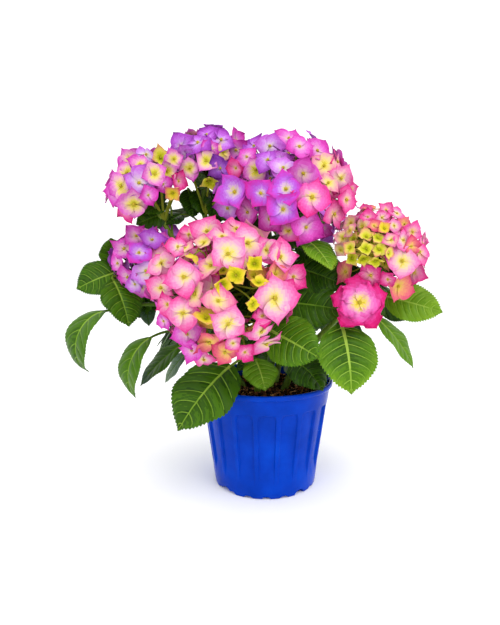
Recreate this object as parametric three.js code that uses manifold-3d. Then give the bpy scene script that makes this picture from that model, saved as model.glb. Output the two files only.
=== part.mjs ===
// A mophead hydrangea growing in a fluted plastic pot.
// Millimetres, +Z up. The origin is the middle of the pot's flat underside, and -Y is the plant's front.
// The pot and the compost are turned shapes, each stem is one tapering limb, each flower head is one uneven
// dome, each outlying leaf is a thin bent blade with its stalk, and the inner leaves are whorled masses.
import * as THREE from "three";
import { mergeVertices } from "three/addons/utils/BufferGeometryUtils.js";
import Module from "manifold-3d";

const wasm = await Module();
wasm.setup();

// ---------------------------------------------------------------- sizes
const GAP = 0.35; // clear space where two pieces meet
const POT = {
  height: 125,
  rim: 80, // outer radius of the rolled rim
  rimDrop: 5.5,
  top: 77, // wall radius under the rim
  foot: 60.3,
  wall: 2.6,
  floor: 3,
  flutes: 18,
  fluteTop: 101, // height where the flutes begin
  fluteEnd: 24, // and where they run out
  fluteDepth: 1.4,
  fluteArc: 15.5, // degrees
  notch: 2.6, // small arch in the foot under each flute
  drain: 6, // larger drainage arches
  drains: 4,
  drainTurn: -52,
};
const COMPOST = { level: 110, crown: 2.5 };
const STEM = { foot: 4.2, tip: 2.9, sides: 6, steps: 8 };
const PETIOLE = { half: 2.1, thick: 3 };
const BLADE = { thick: 2.2, fold: 0.16 };

// Stems: foot on the compost, two shaping points, and the end under the head.
const STEMS = {
  stem_front: [[-8, -18, 104], [-14, -26, 165], [-34, -44, 195], [-42, -74, 224]],
  stem_left: [[-22, 4, 104], [-40, 2, 150], [-112, 0, 182], [-134, 6, 243]],
  stem_top_left: [[-12, 14, 104], [-30, 16, 190], [-104, 12, 262], [-128, -2, 332]],
  stem_top_middle: [[-4, 20, 104], [-12, 24, 200], [-90, 20, 290], [-70, 24, 358]],
  stem_top_right: [[6, -2, 104], [8, 8, 180], [14, 12, 260], [23, 6, 322]],
  stem_right: [[20, -8, 104], [32, -10, 165], [104, -14, 205], [121, -18, 258]],
  stem_back_left: [[-16, 30, 104], [-30, 50, 150], [-62, 92, 180], [-70, 106, 220]],
  stem_back_right: [[12, 26, 104], [24, 50, 170], [52, 104, 230], [54, 116, 298]],
  stem_back: [[0, 38, 104], [2, 66, 140], [8, 120, 160], [10, 134, 196]],
};

// Flower heads: centre, direction of the crown, radius across, crown height, and how lumpy.
const HEADS = {
  head_front: { at: [-44, -92, 238], axis: [-0.08, -0.84, 0.54], r: 77, h: 64, lump: 1 },
  floret_front_right: { at: [93, -67, 223], axis: [-0.12, -0.93, 0.35], r: 28, h: 11, lump: 2 },
  head_left: { at: [-136, 4, 264], axis: [-0.35, -0.35, 0.87], r: 50, h: 38, lump: 2 },
  head_top_left: { at: [-134, -6, 348], axis: [-0.42, -0.3, 0.86], r: 51, h: 37, lump: 3 },
  head_top_middle: { at: [-66, 26, 373], axis: [0, -0.12, 0.99], r: 49, h: 45, lump: 4 },
  head_top_right: { at: [22, 0, 342], axis: [-0.06, -0.36, 0.93], r: 80, h: 63, lump: 5 },
  head_right: { at: [125, -24, 276], axis: [0.34, -0.42, 0.84], r: 54, h: 49, lump: 6 },
  head_back_left: { at: [-74, 114, 236], axis: [-0.35, 0.62, 0.7], r: 56, h: 42, lump: 7 },
  head_back_right: { at: [56, 128, 312], axis: [0.2, 0.55, 0.81], r: 56, h: 44, lump: 8 },
  head_back: { at: [12, 142, 206], axis: [0.08, 0.8, 0.6], r: 52, h: 40, lump: 9 },
};

// Single leaves: the stem and how far up it, blade base, tip, bend in degrees, width, roll in degrees.
const LEAVES = {
  leaf_far_left: ["stem_left", 0.8, [-178, -46, 212], [-195, -54, 146], 145, 48, -22],
  leaf_left_hook: ["stem_left", 0.55, [-127, -54, 184], [-143, -62, 119], 110, 44, -15],
  leaf_left_low: ["stem_left", 0.5, [-92, -40, 175], [-140, -50, 129], 30, 36, -18],
  leaf_left_grey: ["stem_left", 0.42, [-91, -16, 160], [-119, -8, 121], 24, 26, -40],
  leaf_front_left: ["stem_front", 0.3, [-38, -74, 158], [-91, -113, 100], 36, 77, -18],
  leaf_front_small: ["stem_front", 0.24, [-13, -46, 159], [-2, -66, 128], 34, 42, 0],
  leaf_front_under: ["stem_front", 0.3, [-26, -50, 181], [-22, -60, 155], 30, 22, 0],
  leaf_front_centre: ["stem_front", 0.62, [1, -76, 197], [51, -108, 174], 30, 54, 58],
  leaf_front_dark: ["stem_right", 0.22, [26, -36, 156], [61, -63, 127], 60, 56, 14],
  leaf_front_right: ["stem_right", 0.66, [80, -58, 199], [87, -90, 131], 44, 66, 0],
  leaf_right_droop: ["stem_right", 0.8, [121, -40, 204], [162, -50, 149], 34, 36, 22],
  leaf_right_far: ["stem_right", 0.86, [135, -16, 225], [195, -40, 210], 24, 44, 64],
  leaf_right_under: ["stem_right", 0.84, [129, 10, 214], [177, 16, 197], 26, 32, 64],
  leaf_centre_pale: ["stem_top_right", 0.8, [39, -28, 292], [68, -62, 258], 40, 46, 0],
  leaf_inner_upper: ["stem_top_right", 0.6, [30, -10, 259], [89, -28, 238], 26, 48, 57],
  leaf_inner_lower: ["stem_top_right", 0.48, [25, -26, 219], [86, -48, 213], 24, 52, 61],
  leaf_left_top: ["stem_left", 0.97, [-182, 12, 260], [-180, 4, 291], 36, 32, -159],
  leaf_left_out: ["stem_left", 0.92, [-170, 0, 252], [-214, -24, 234], 36, 46, -53],
  leaf_left_front: ["stem_left", 0.84, [-174, -18, 244], [-152, -42, 194], 36, 50, 0],
  leaf_left_inner: ["stem_left", 0.74, [-150, 20, 226], [-139, 8, 186], 30, 28, 0],
  leaf_top_left: ["stem_top_left", 0.86, [-116, 6, 319], [-148, -8, 306], 26, 30, -61],
};

// Leaf masses: centre, direction of the middle, reach, droop of the tips, number of leaves, turn in degrees.
const MASSES = {
  foliage_centre: { at: [-38, 34, 312], axis: [0, -0.6, 0.8], r: 44, droop: 12, lobes: 5, turn: 20 },
  foliage_centre_right: { at: [62, 22, 254], axis: [0.1, -0.6, 0.8], r: 48, droop: 18, lobes: 5, turn: 50 },
  foliage_left: { at: [-138, 40, 226], axis: [-0.25, -0.2, 0.94], r: 46, droop: 24, lobes: 5, turn: 10 },
  foliage_right: { at: [126, 40, 232], axis: [0.3, -0.1, 0.95], r: 50, droop: 24, lobes: 5, turn: 15 },
  foliage_back_left: { at: [-92, 84, 176], axis: [-0.4, 0.4, 0.82], r: 72, droop: 34, lobes: 6, turn: 0 },
  foliage_back_right: { at: [84, 92, 190], axis: [0.35, 0.4, 0.85], r: 72, droop: 34, lobes: 6, turn: 25 },
  foliage_back: { at: [-2, 128, 150], axis: [0, 0.5, 0.87], r: 62, droop: 30, lobes: 6, turn: 40 },
  foliage_low: { at: [4, 14, 150], axis: [0, -0.2, 0.98], r: 50, droop: 12, lobes: 4, turn: 45 },
};

const COLOUR = {
  pot: [0x0a4bc8, 0.3],
  compost: [0x2b1a10, 0.95],
  stem: [0x5d7a26, 0.6],
  leaf: [0x2c6a1c, 0.5],
  mass: [0x1f4f18, 0.6],
  head_front: [0xf473b0, 0.6],
  floret_front_right: [0xf0409a, 0.6],
  head_left: [0xc77bdc, 0.6],
  head_top_left: [0xe08fd0, 0.6],
  head_top_middle: [0xb565e0, 0.6],
  head_top_right: [0xe35fd0, 0.6],
  head_right: [0xf58aa8, 0.6],
  head_back_left: [0xe878c0, 0.6],
  head_back_right: [0xc070dc, 0.6],
  head_back: [0xf080b8, 0.6],
};

// ---------------------------------------------------------------- small helpers
const vec = (a) => new THREE.Vector3(...a);
const rad = THREE.MathUtils.degToRad;
const mix = (a, b, t) => a.clone().lerp(b, t);
const ring = (n, f) => Array.from({ length: n }, (_, j) => f((j / n) * 2 * Math.PI, j));

// A closed solid from a geometry: only positions count, and shared corners are merged.
function solid(geometry) {
  const g = geometry.clone();
  for (const name of Object.keys(g.attributes)) if (name !== "position") g.deleteAttribute(name);
  const m = mergeVertices(g, 1e-3);
  const idx = m.index.array, keep = [];
  for (let i = 0; i < idx.length; i += 3)
    if (idx[i] !== idx[i + 1] && idx[i + 1] !== idx[i + 2] && idx[i] !== idx[i + 2]) keep.push(idx[i], idx[i + 1], idx[i + 2]);
  const make = (tri) => new wasm.Manifold(new wasm.Mesh({ numProp: 3, vertProperties: new Float32Array(m.attributes.position.array), triVerts: new Uint32Array(tri) }));
  const s = make(keep);
  if (s.volume() > 0) return s;
  const back = [];
  for (let i = 0; i < keep.length; i += 3) back.push(keep[i], keep[i + 2], keep[i + 1]);
  return make(back);
}

// A solid back to a geometry.
function geometryOf(s) {
  const m = s.getMesh(), n = m.numProp, v = new Float32Array(m.numVert * 3);
  for (let i = 0; i < m.numVert; i++) v.set(m.vertProperties.subarray(i * n, i * n + 3), i * 3);
  return new THREE.BufferGeometry()
    .setAttribute("position", new THREE.BufferAttribute(v, 3))
    .setIndex(new THREE.BufferAttribute(new Uint32Array(m.triVerts), 1));
}

// A skin through rings of equal count, closed by a fan at each end. An end's middle may be given.
function loft(rings, first, last) {
  const n = rings[0].length, pos = [], tri = [];
  for (const r of rings) for (const p of r) pos.push(p.x, p.y, p.z);
  for (let i = 0; i + 1 < rings.length; i++)
    for (let j = 0; j < n; j++) {
      const a = i * n + j, b = i * n + ((j + 1) % n), c = a + n, d = b + n;
      tri.push(a, b, d, a, d, c);
    }
  const cap = (points, base, turn, given) => {
    const mid = given ?? points.reduce((s, p) => s.add(p), new THREE.Vector3()).multiplyScalar(1 / n);
    const at = pos.length / 3;
    pos.push(mid.x, mid.y, mid.z);
    for (let j = 0; j < n; j++) {
      const a = base + j, b = base + ((j + 1) % n);
      tri.push(...(turn ? [at, a, b] : [at, b, a]));
    }
  };
  cap(rings[0], 0, false, first);
  cap(rings[rings.length - 1], (rings.length - 1) * n, true, last);
  return new THREE.BufferGeometry()
    .setAttribute("position", new THREE.BufferAttribute(new Float32Array(pos), 3))
    .setIndex(tri);
}

// Two directions square to a given one.
function square(axis) {
  const side = Math.abs(axis.z) > 0.95 ? new THREE.Vector3(1, 0, 0) : new THREE.Vector3(0, 0, 1).cross(axis).normalize();
  const u = side.sub(axis.clone().multiplyScalar(side.dot(axis))).normalize();
  return [u, axis.clone().cross(u).normalize()];
}

// A point from a distance out, a height along the axis and an angle round it.
function polarFrame(at, axis) {
  const up = vec(axis).normalize(), [u, v] = square(up), mid = vec(at);
  return (rho, zeta, a) => mid.clone().addScaledVector(up, zeta).addScaledVector(u, rho * Math.cos(a)).addScaledVector(v, rho * Math.sin(a));
}

// A turned body from its half outline.
const turned = (outline, segments) =>
  new THREE.LatheGeometry(outline.map(([r, z]) => new THREE.Vector2(r, z)), segments).rotateX(Math.PI / 2);

// ---------------------------------------------------------------- pot and compost
// Wall radius at a height, without the flutes.
const wallAt = (z) => POT.foot + ((POT.top - POT.foot) * z) / (POT.height - POT.rimDrop);

function potSolid() {
  const { height: H, rim, rimDrop, wall, floor } = POT, under = H - rimDrop;
  let pot = solid(turned([
    [0, 0], [wallAt(0) - 1.2, 0], [wallAt(1.4), 1.4], [wallAt(under - 1), under - 1], [rim - 0.6, under], [rim, under + 1], [rim, H - 1],
    [rim - 1, H], [rim - 4.4, H], [wallAt(under) - wall, under - 1], [wallAt(floor) - wall, floor], [0, floor],
  ], 36));
  const pitch = (2 * Math.PI) / POT.flutes, half = rad(POT.fluteArc / 2);
  // Each flute is a flat-bottomed wedge pressed into the wall, deepest at its top.
  const wedge = (turn) => {
    const level = (z, depth) => [[-half, -depth], [half, -depth], [half * 1.3, 6], [-half * 1.3, 6]].map(([a, out]) =>
      new THREE.Vector3((wallAt(z) + out) * Math.cos(turn + a), (wallAt(z) + out) * Math.sin(turn + a), z));
    return solid(loft([level(POT.fluteEnd, -0.8), level(POT.fluteTop, POT.fluteDepth)]));
  };
  const arch = (radius, turn) =>
    solid(new THREE.CylinderGeometry(radius, radius, 14, 6).rotateZ(Math.PI / 2).translate(POT.foot + 1, 0, 0).rotateZ(turn));
  for (let i = 0; i < POT.flutes; i++) pot = pot.subtract(wedge((i + 0.5) * pitch)).subtract(arch(POT.notch, (i + 0.5) * pitch));
  for (let i = 0; i < POT.drains; i++) pot = pot.subtract(arch(POT.drain, rad(POT.drainTurn + (i * 360) / POT.drains)));
  return pot;
}

// The ring of room the pot's rim takes up, for cutting leaves that hang over it.
function rimRoom(grow) {
  const a = POT.rim - 5.5 - grow, b = POT.rim + grow, z0 = COMPOST.level, z1 = POT.height + grow;
  return solid(turned([[a, z0], [b, z0], [b, z1], [a, z1], [a, z0]], 48));
}

function compostSolid(grow = 0) {
  const z0 = POT.floor + GAP, top = COMPOST.level;
  const r = (z) => wallAt(z) - POT.wall - 0.6 + grow;
  return solid(turned([[0, z0], [r(z0), z0], [r(top), top + grow], [r(top) * 0.7, top + COMPOST.crown + grow], [0, top + COMPOST.crown + 1 + grow]], 24));
}

// ---------------------------------------------------------------- stems
const stemCurve = (name) => new THREE.CubicBezierCurve3(...STEMS[name].map(vec));

function stemSolid(name, grow = 0) {
  const curve = stemCurve(name), rings = [];
  for (let i = 0; i <= STEM.steps; i++) {
    const t = i / STEM.steps, along = curve.getTangent(t);
    const at = curve.getPoint(t).addScaledVector(along, i === 0 ? -grow : i === STEM.steps ? grow : 0);
    const [u, v] = square(along), radius = STEM.foot + (STEM.tip - STEM.foot) * t + grow;
    rings.push(ring(STEM.sides, (a) => at.clone().addScaledVector(u, radius * Math.cos(a)).addScaledVector(v, radius * Math.sin(a))));
  }
  return solid(loft(rings));
}

// ---------------------------------------------------------------- flower heads
// An uneven dome: a lumpy crown, a skirt past its widest ring, and a dished underside.
function headSolid({ at, axis, r, h, lump }, grow = 0) {
  const point = polarFrame(at, axis), around = 14;
  const rings = [18, 36, 54, 72, 90, 108].map(rad).map((f, i) =>
    ring(around, (a0) => {
      const a = a0 + ((i % 2) * Math.PI) / around;
      const wave = 0.98 + 0.032 * Math.sin(3 * a + lump * 1.7 + 0.4 * i) + 0.024 * Math.cos(5 * a - lump - 0.5 * i);
      const deep = f > Math.PI / 2 ? h * 0.85 : h;
      return point(r * Math.sin(f) * wave + grow, deep * Math.cos(f) * wave + grow * Math.cos(f), a);
    }));
  const dish = -0.08 * h - 3;
  rings.push(ring(around, (a) => point(r * 0.5 - grow, dish - 0.06 * h - grow, a)));
  return solid(loft(rings, point(0, h + grow, 0), point(0, dish - grow, 0)));
}

// ---------------------------------------------------------------- leaves
// Half width of a blade along its length: broad below the middle, drawn out to the tip.
const outline = (s) => Math.pow(Math.sin(Math.PI * Math.pow(s, 0.82)), 0.72) * (1 - 0.18 * s);

// The blade's midrib bends in the plane of its chord and the upward side, turned by roll.
function blade(at, to, bend, roll) {
  const chord = to.clone().sub(at), length = chord.length(), c = chord.normalize();
  const n0 = new THREE.Vector3(0, 0, 1).addScaledVector(c, -c.z).normalize();
  const s0 = c.clone().cross(n0), n = n0.clone().multiplyScalar(Math.cos(rad(roll))).addScaledVector(s0, Math.sin(rad(roll)));
  const side = c.clone().cross(n).normalize(), half = rad(bend) / 2, full = (length * half) / Math.sin(half);
  return (s) => {
    // Distance along the chord and above it for a circular arc of this bend.
    const a = half - 2 * half * s;
    const x = (full * (Math.sin(half) - Math.sin(a))) / (2 * half), y = (full * (Math.cos(a) - Math.cos(half))) / (2 * half);
    return {
      point: at.clone().addScaledVector(c, x).addScaledVector(n, y),
      along: c.clone().multiplyScalar(Math.cos(a)).addScaledVector(n, Math.sin(a)),
      over: n.clone().multiplyScalar(Math.cos(a)).addScaledVector(c, -Math.sin(a)),
      side,
    };
  };
}

function leafSolid([stem, up, at, to, bend, width, roll], grow = 0) {
  const A = vec(at), along = blade(A, vec(to), bend, roll), start = along(0);
  const root = stemCurve(stem).getPoint(up), reach = root.distanceTo(A);
  const stalk = new THREE.CubicBezierCurve3(root, mix(root, A, 0.35).add(new THREE.Vector3(0, 0, reach * 0.12)), A.clone().addScaledVector(start.along, -0.35 * reach), A);
  const section = (f, half, thick, fold) => {
    const w = half + grow, top = thick / 2 + grow, rise = fold * half;
    return [[-w, rise], [-w * 0.5, rise * 0.4 + top], [0, top], [w * 0.5, rise * 0.4 + top], [w, rise], [0, -top]].map(([x, y]) =>
      f.point.clone().addScaledVector(f.side, x).addScaledVector(f.over, y));
  };
  const rings = [0, 0.6].map((t) => {
    const d = stalk.getTangent(t), over = start.over.clone().addScaledVector(d, -start.over.dot(d)).normalize();
    const point = stalk.getPoint(t).addScaledVector(d, t === 0 ? -grow : 0);
    return section({ point, side: d.clone().cross(over).normalize(), over }, PETIOLE.half, PETIOLE.thick, 0);
  });
  for (const s of [0.03, 0.2, 0.42, 0.66, 0.86, 0.985]) {
    const f = along(s);
    if (s > 0.98) f.point.addScaledVector(f.along, grow);
    rings.push(section(f, Math.max((width / 2) * outline(s), 1.6), BLADE.thick, BLADE.fold));
  }
  return solid(loft(rings));
}

// A whorl of drooping leaves as one uneven body.
function massSolid({ at, axis, r, droop, lobes, turn }, grow = 0) {
  const point = polarFrame(at, axis), reach = [1, 0.84, 0.6, 0.84];
  const level = (k, lift, out) =>
    ring(lobes * reach.length, (a, j) => {
      const long = k * r * (k > 0.5 ? reach[j % reach.length] : 1) * (1 + 0.06 * Math.sin(2 * a + r));
      return point(long + grow, lift + out * grow - droop * (long / r) ** 2, a + rad(turn));
    });
  const rings = [level(0.5, 9, 1), level(0.86, 5, 1), level(1, 0, 0), level(0.6, -8, -1)];
  return solid(loft(rings, point(0, 9 + grow, 0), point(0, -9 - grow, 0)));
}

// ---------------------------------------------------------------- assembly
// Pieces come in order of strength. Each one is cut back, with a small gap, by those before it that it meets.
const plant = new THREE.Group(), taken = [];

function add(name, body, [color, roughness]) {
  const mesh = new THREE.Mesh(geometryOf(body), new THREE.MeshStandardMaterial({ color, roughness, metalness: 0 }));
  mesh.name = name;
  plant.add(mesh);
}

function place(name, make, colour) {
  let s = make(0);
  const box = s.boundingBox();
  for (const t of taken) {
    const apart = [0, 1, 2].some((i) => t.box.min[i] > box.max[i] + 1 || t.box.max[i] < box.min[i] - 1);
    if (!apart) s = s.subtract(t.room);
  }
  const whole = s.decompose().sort((a, b) => b.volume() - a.volume())[0];
  const room = make(GAP).add(whole);
  taken.push({ room, box: room.boundingBox() });
  add(name, whole, colour);
}

add("pot", potSolid(), COLOUR.pot);
add("compost", compostSolid(), COLOUR.compost);
for (const room of [rimRoom(GAP), compostSolid(GAP)]) taken.push({ room, box: room.boundingBox() });
for (const name of Object.keys(STEMS)) place(name, (g) => stemSolid(name, g), COLOUR.stem);
for (const [name, head] of Object.entries(HEADS)) place(name, (g) => headSolid(head, g), COLOUR[name]);
for (const [name, leaf] of Object.entries(LEAVES)) place(name, (g) => leafSolid(leaf, g), COLOUR.leaf);
for (const [name, mass] of Object.entries(MASSES)) place(name, (g) => massSolid(mass, g), COLOUR.mass);

export default plant;
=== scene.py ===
import math

import bpy
import numpy as np
from mathutils import Matrix, Vector


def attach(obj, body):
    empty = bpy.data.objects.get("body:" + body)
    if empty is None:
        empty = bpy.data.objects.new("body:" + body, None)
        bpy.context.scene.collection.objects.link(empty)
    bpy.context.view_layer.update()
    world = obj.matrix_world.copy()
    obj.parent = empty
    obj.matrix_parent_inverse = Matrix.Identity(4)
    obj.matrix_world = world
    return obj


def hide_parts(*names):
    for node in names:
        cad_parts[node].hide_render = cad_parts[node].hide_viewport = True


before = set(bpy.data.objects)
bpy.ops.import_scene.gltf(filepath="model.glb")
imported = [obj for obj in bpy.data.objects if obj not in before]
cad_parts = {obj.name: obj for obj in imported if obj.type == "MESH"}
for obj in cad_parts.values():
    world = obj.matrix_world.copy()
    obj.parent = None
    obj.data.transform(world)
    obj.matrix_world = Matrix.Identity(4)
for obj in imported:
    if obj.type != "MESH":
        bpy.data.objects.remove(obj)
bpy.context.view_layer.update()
scene = bpy.context.scene

# ---------------------------------------------------------------- camera
CAMERA = np.array([-18.3, -659.0, 301.4])
PITCH, FOCAL = 0.147, 566.0
WIDE, TALL = 500, 625
LOOK = np.array([0.0, math.cos(PITCH), -math.sin(PITCH)])
RISE = np.array([0.0, math.sin(PITCH), math.cos(PITCH)])
RIGHT = np.array([1.0, 0.0, 0.0])


def sight(u, v):
    """The direction from the camera through a place in the 500 x 625 picture."""
    d = LOOK + RIGHT * (u - WIDE / 2) / FOCAL + RISE * (TALL / 2 - v) / FOCAL
    return d / np.linalg.norm(d)


def scale_at(p):
    """Picture pixels to the millimetre at a point."""
    return FOCAL / ((np.asarray(p) - CAMERA) @ LOOK)


# ---------------------------------------------------------------- the plant's tables, as in the construction
STEM_FOOT, STEM_TIP = 4.2, 2.9
STEMS = {
    "stem_front": [[-8, -18, 104], [-14, -26, 165], [-34, -44, 195], [-42, -74, 224]],
    "stem_left": [[-22, 4, 104], [-40, 2, 150], [-112, 0, 182], [-134, 6, 243]],
    "stem_top_left": [[-12, 14, 104], [-30, 16, 190], [-104, 12, 262], [-128, -2, 332]],
    "stem_top_middle": [[-4, 20, 104], [-12, 24, 200], [-90, 20, 290], [-70, 24, 358]],
    "stem_top_right": [[6, -2, 104], [8, 8, 180], [14, 12, 260], [23, 6, 322]],
    "stem_right": [[20, -8, 104], [32, -10, 165], [104, -14, 205], [121, -18, 258]],
    "stem_back_left": [[-16, 30, 104], [-30, 50, 150], [-62, 92, 180], [-70, 106, 220]],
    "stem_back_right": [[12, 26, 104], [24, 50, 170], [52, 104, 230], [54, 116, 298]],
    "stem_back": [[0, 38, 104], [2, 66, 140], [8, 120, 160], [10, 134, 196]],
}
# centre, crown direction, radius across, crown height, the stem that carries it
HEADS = {
    "head_front": ([-44, -92, 238], [-0.08, -0.84, 0.54], 77, 64, "stem_front"),
    "head_left": ([-136, 4, 264], [-0.35, -0.35, 0.87], 50, 38, "stem_left"),
    "head_top_left": ([-134, -6, 348], [-0.42, -0.3, 0.86], 51, 37, "stem_top_left"),
    "head_top_middle": ([-66, 26, 373], [0, -0.12, 0.99], 49, 45, "stem_top_middle"),
    "head_top_right": ([22, 0, 342], [-0.06, -0.36, 0.93], 80, 63, "stem_top_right"),
    "head_right": ([125, -24, 276], [0.34, -0.42, 0.84], 54, 49, "stem_right"),
    "head_back_left": ([-74, 114, 236], [-0.35, 0.62, 0.7], 56, 42, "stem_back_left"),
    "head_back_right": ([56, 128, 312], [0.2, 0.55, 0.81], 56, 44, "stem_back_right"),
    "head_back": ([12, 142, 206], [0.08, 0.8, 0.6], 52, 40, "stem_back"),
}
# stem, how far up it, blade base, tip, bend, width, roll; then tone, how much lighter the margin and the tip are, how strong the veins are
LEAVES = {
    "leaf_far_left": ("stem_left", 0.8, [-178, -46, 212], [-195, -54, 146], 145, 42, -22, dict(tone=3.6, rim=0.6, vein=3.6, wave=1.0, laterals=6)),
    "leaf_left_hook": ("stem_left", 0.55, [-127, -54, 184], [-143, -62, 119], 110, 42, -15, dict(tone=4.0, rim=0.6, vein=3.4, wave=1.0, laterals=6)),
    "leaf_left_low": ("stem_left", 0.5, [-92, -40, 175], [-140, -50, 129], 30, 36, -18, dict(tone=3.2, vein=1.6, greyer=0.75)),
    "leaf_left_grey": ("stem_left", 0.42, [-91, -16, 160], [-119, -8, 121], 24, 26, -40, dict(tone=2.0, greyer=0.0, vein=1.2)),
    "leaf_front_left": ("stem_front", 0.3, [-38, -74, 158], [-91, -113, 100], 36, 77, -18, dict(tone=2.8, rim=0.6, vein=4.2, rib=1.7, laterals=7)),
    # this leaf's tone is set lighter to make up for the shadow of the head above it: painted light
    "leaf_front_small": ("stem_front", 0.24, [-13, -46, 159], [-2, -66, 128], 34, 42, 0, dict(tone=6.1, vein=4.2, rib=1.2, laterals=7)),
    "leaf_front_under": ("stem_front", 0.3, [-26, -50, 181], [-22, -60, 155], 30, 22, 0, dict(tone=3.2, vein=1.2)),
    "leaf_front_centre": ("stem_front", 0.62, [1, -76, 197], [51, -108, 174], 30, 54, 58, dict(tone=3.6, rim=1.2, vein=4.2, rib=1.6, laterals=8, quilt=1.6)),
    "leaf_front_dark": ("stem_right", 0.22, [26, -36, 156], [61, -63, 127], 60, 56, 14, dict(tone=2.2, vein=2.0)),
    "leaf_front_right": ("stem_right", 0.66, [80, -58, 199], [87, -90, 131], 44, 66, 0, dict(tone=2.9, rim=2.8, tip=3.9, vein=5.2, rib=2.0, laterals=8, quilt=1.5)),
    "leaf_right_droop": ("stem_right", 0.8, [121, -40, 204], [162, -50, 149], 34, 36, 22, dict(tone=5.1, rim=0.8, vein=3.0)),
    # this leaf's tone is set lighter to make up for the shadow of the head above it: painted light
    "leaf_right_far": ("stem_right", 0.86, [135, -16, 225], [195, -40, 210], 24, 44, 64, dict(tone=6.2, rim=1.0, tip=1.2, vein=3.4, laterals=8)),
    "leaf_right_under": ("stem_right", 0.84, [129, 10, 214], [177, 16, 197], 26, 32, 64, dict(tone=2.2, vein=1.0)),
    "leaf_centre_pale": ("stem_top_right", 0.8, [39, -28, 292], [68, -62, 258], 40, 46, 0, dict(tone=4.0, rim=2.2, tip=4.2, vein=5.2, laterals=8, tooth=3.4, quilt=1.6)),
    "leaf_inner_upper": ("stem_top_right", 0.6, [30, -10, 259], [89, -28, 238], 26, 48, 57, dict(tone=2.2, vein=1.6)),
    "leaf_inner_lower": ("stem_top_right", 0.48, [25, -26, 219], [86, -48, 213], 24, 52, 61, dict(tone=3.0, vein=2.2)),
    "leaf_left_top": ("stem_left", 0.97, [-182, 12, 260], [-180, 4, 291], 36, 32, -159, dict(tone=3.4, vein=1.8)),
    "leaf_left_out": ("stem_left", 0.92, [-170, 0, 252], [-214, -24, 234], 36, 46, -53, dict(tone=3.2, vein=4.2)),
    "leaf_left_front": ("stem_left", 0.84, [-174, -18, 244], [-152, -42, 194], 36, 50, 0, dict(tone=3.4, vein=3.8)),
    "leaf_left_inner": ("stem_left", 0.74, [-150, 20, 226], [-139, 8, 186], 30, 28, 0, dict(tone=1.6, vein=1.2, greyer=0.6)),
    "leaf_top_left": ("stem_top_left", 0.86, [-116, 6, 319], [-148, -8, 306], 26, 30, -61, dict(tone=2.2, vein=1.4)),
}
# centre, direction of the middle, reach, droop of the tips, lobes, turn, tone, the stem it grows on
MASSES = {
    "foliage_centre": ([-38, 34, 312], [0, -0.6, 0.8], 44, 12, 5, 20, 1.4, "stem_top_middle"),
    "foliage_centre_right": ([62, 22, 254], [0.1, -0.6, 0.8], 48, 18, 5, 50, 1.6, "stem_top_right"),
    "foliage_left": ([-138, 40, 226], [-0.25, -0.2, 0.94], 46, 24, 5, 10, 2.4, "stem_left"),
    "foliage_right": ([126, 40, 232], [0.3, -0.1, 0.95], 50, 24, 5, 15, 2.4, "stem_right"),
    "foliage_back_left": ([-92, 84, 176], [-0.4, 0.4, 0.82], 72, 34, 6, 0, 3.0, "stem_back_left"),
    "foliage_back_right": ([84, 92, 190], [0.35, 0.4, 0.85], 72, 34, 6, 25, 3.0, "stem_back_right"),
    "foliage_back": ([-2, 128, 150], [0, 0.5, 0.87], 62, 30, 6, 40, 3.2, "stem_back"),
    "foliage_low": ([4, 14, 150], [0, -0.2, 0.98], 50, 12, 4, 45, 1.4, "stem_top_right"),
}


# ---------------------------------------------------------------- tones
def linear(c):
    c = np.asarray(c, float) / 255
    return tuple(np.where(c <= 0.04045, c / 12.92, ((c + 0.055) / 1.055) ** 2.4))


TONES = {}


def ramp(name, stops, count, rough, sheen=0.0):
    """A run of plain tones between a few named colours."""
    stops = np.asarray(stops, float)
    for i in range(count):
        x = i / max(count - 1, 1) * (len(stops) - 1)
        k = min(int(x), len(stops) - 2) if len(stops) > 1 else 0
        c = stops[k] + (stops[min(k + 1, len(stops) - 1)] - stops[k]) * (x - k)
        TONES[f"{name}_{i}"] = (tuple(c), rough, sheen)
    return [f"{name}_{i}" for i in range(count)]


GREEN = ramp("green", [(9, 22, 3), (40, 74, 9), (72, 116, 14), (98, 144, 22), (126, 168, 36), (152, 190, 56), (176, 206, 84)], 13, 0.38)
BLUISH = ramp("bluegreen", [(34, 62, 36), (60, 90, 62), (92, 122, 94), (126, 150, 122)], 5, 0.5)
VEIN = ramp("vein", [(48, 84, 14), (72, 112, 22), (100, 142, 36), (132, 172, 52), (166, 200, 76)], 8, 0.45)
UNDER = ramp("under", [(56, 86, 40), (80, 112, 58), (104, 136, 80)], 4, 0.6)
STALK = ramp("stalk", [(58, 90, 18), (96, 128, 32), (136, 160, 52)], 4, 0.45)
PEDICEL = ramp("pedicel", [(92, 116, 26), (140, 152, 40), (182, 176, 62)], 3, 0.5)
BEAD = ramp("bead", [(126, 126, 20), (190, 172, 44), (226, 190, 70)], 3, 0.5)

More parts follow.
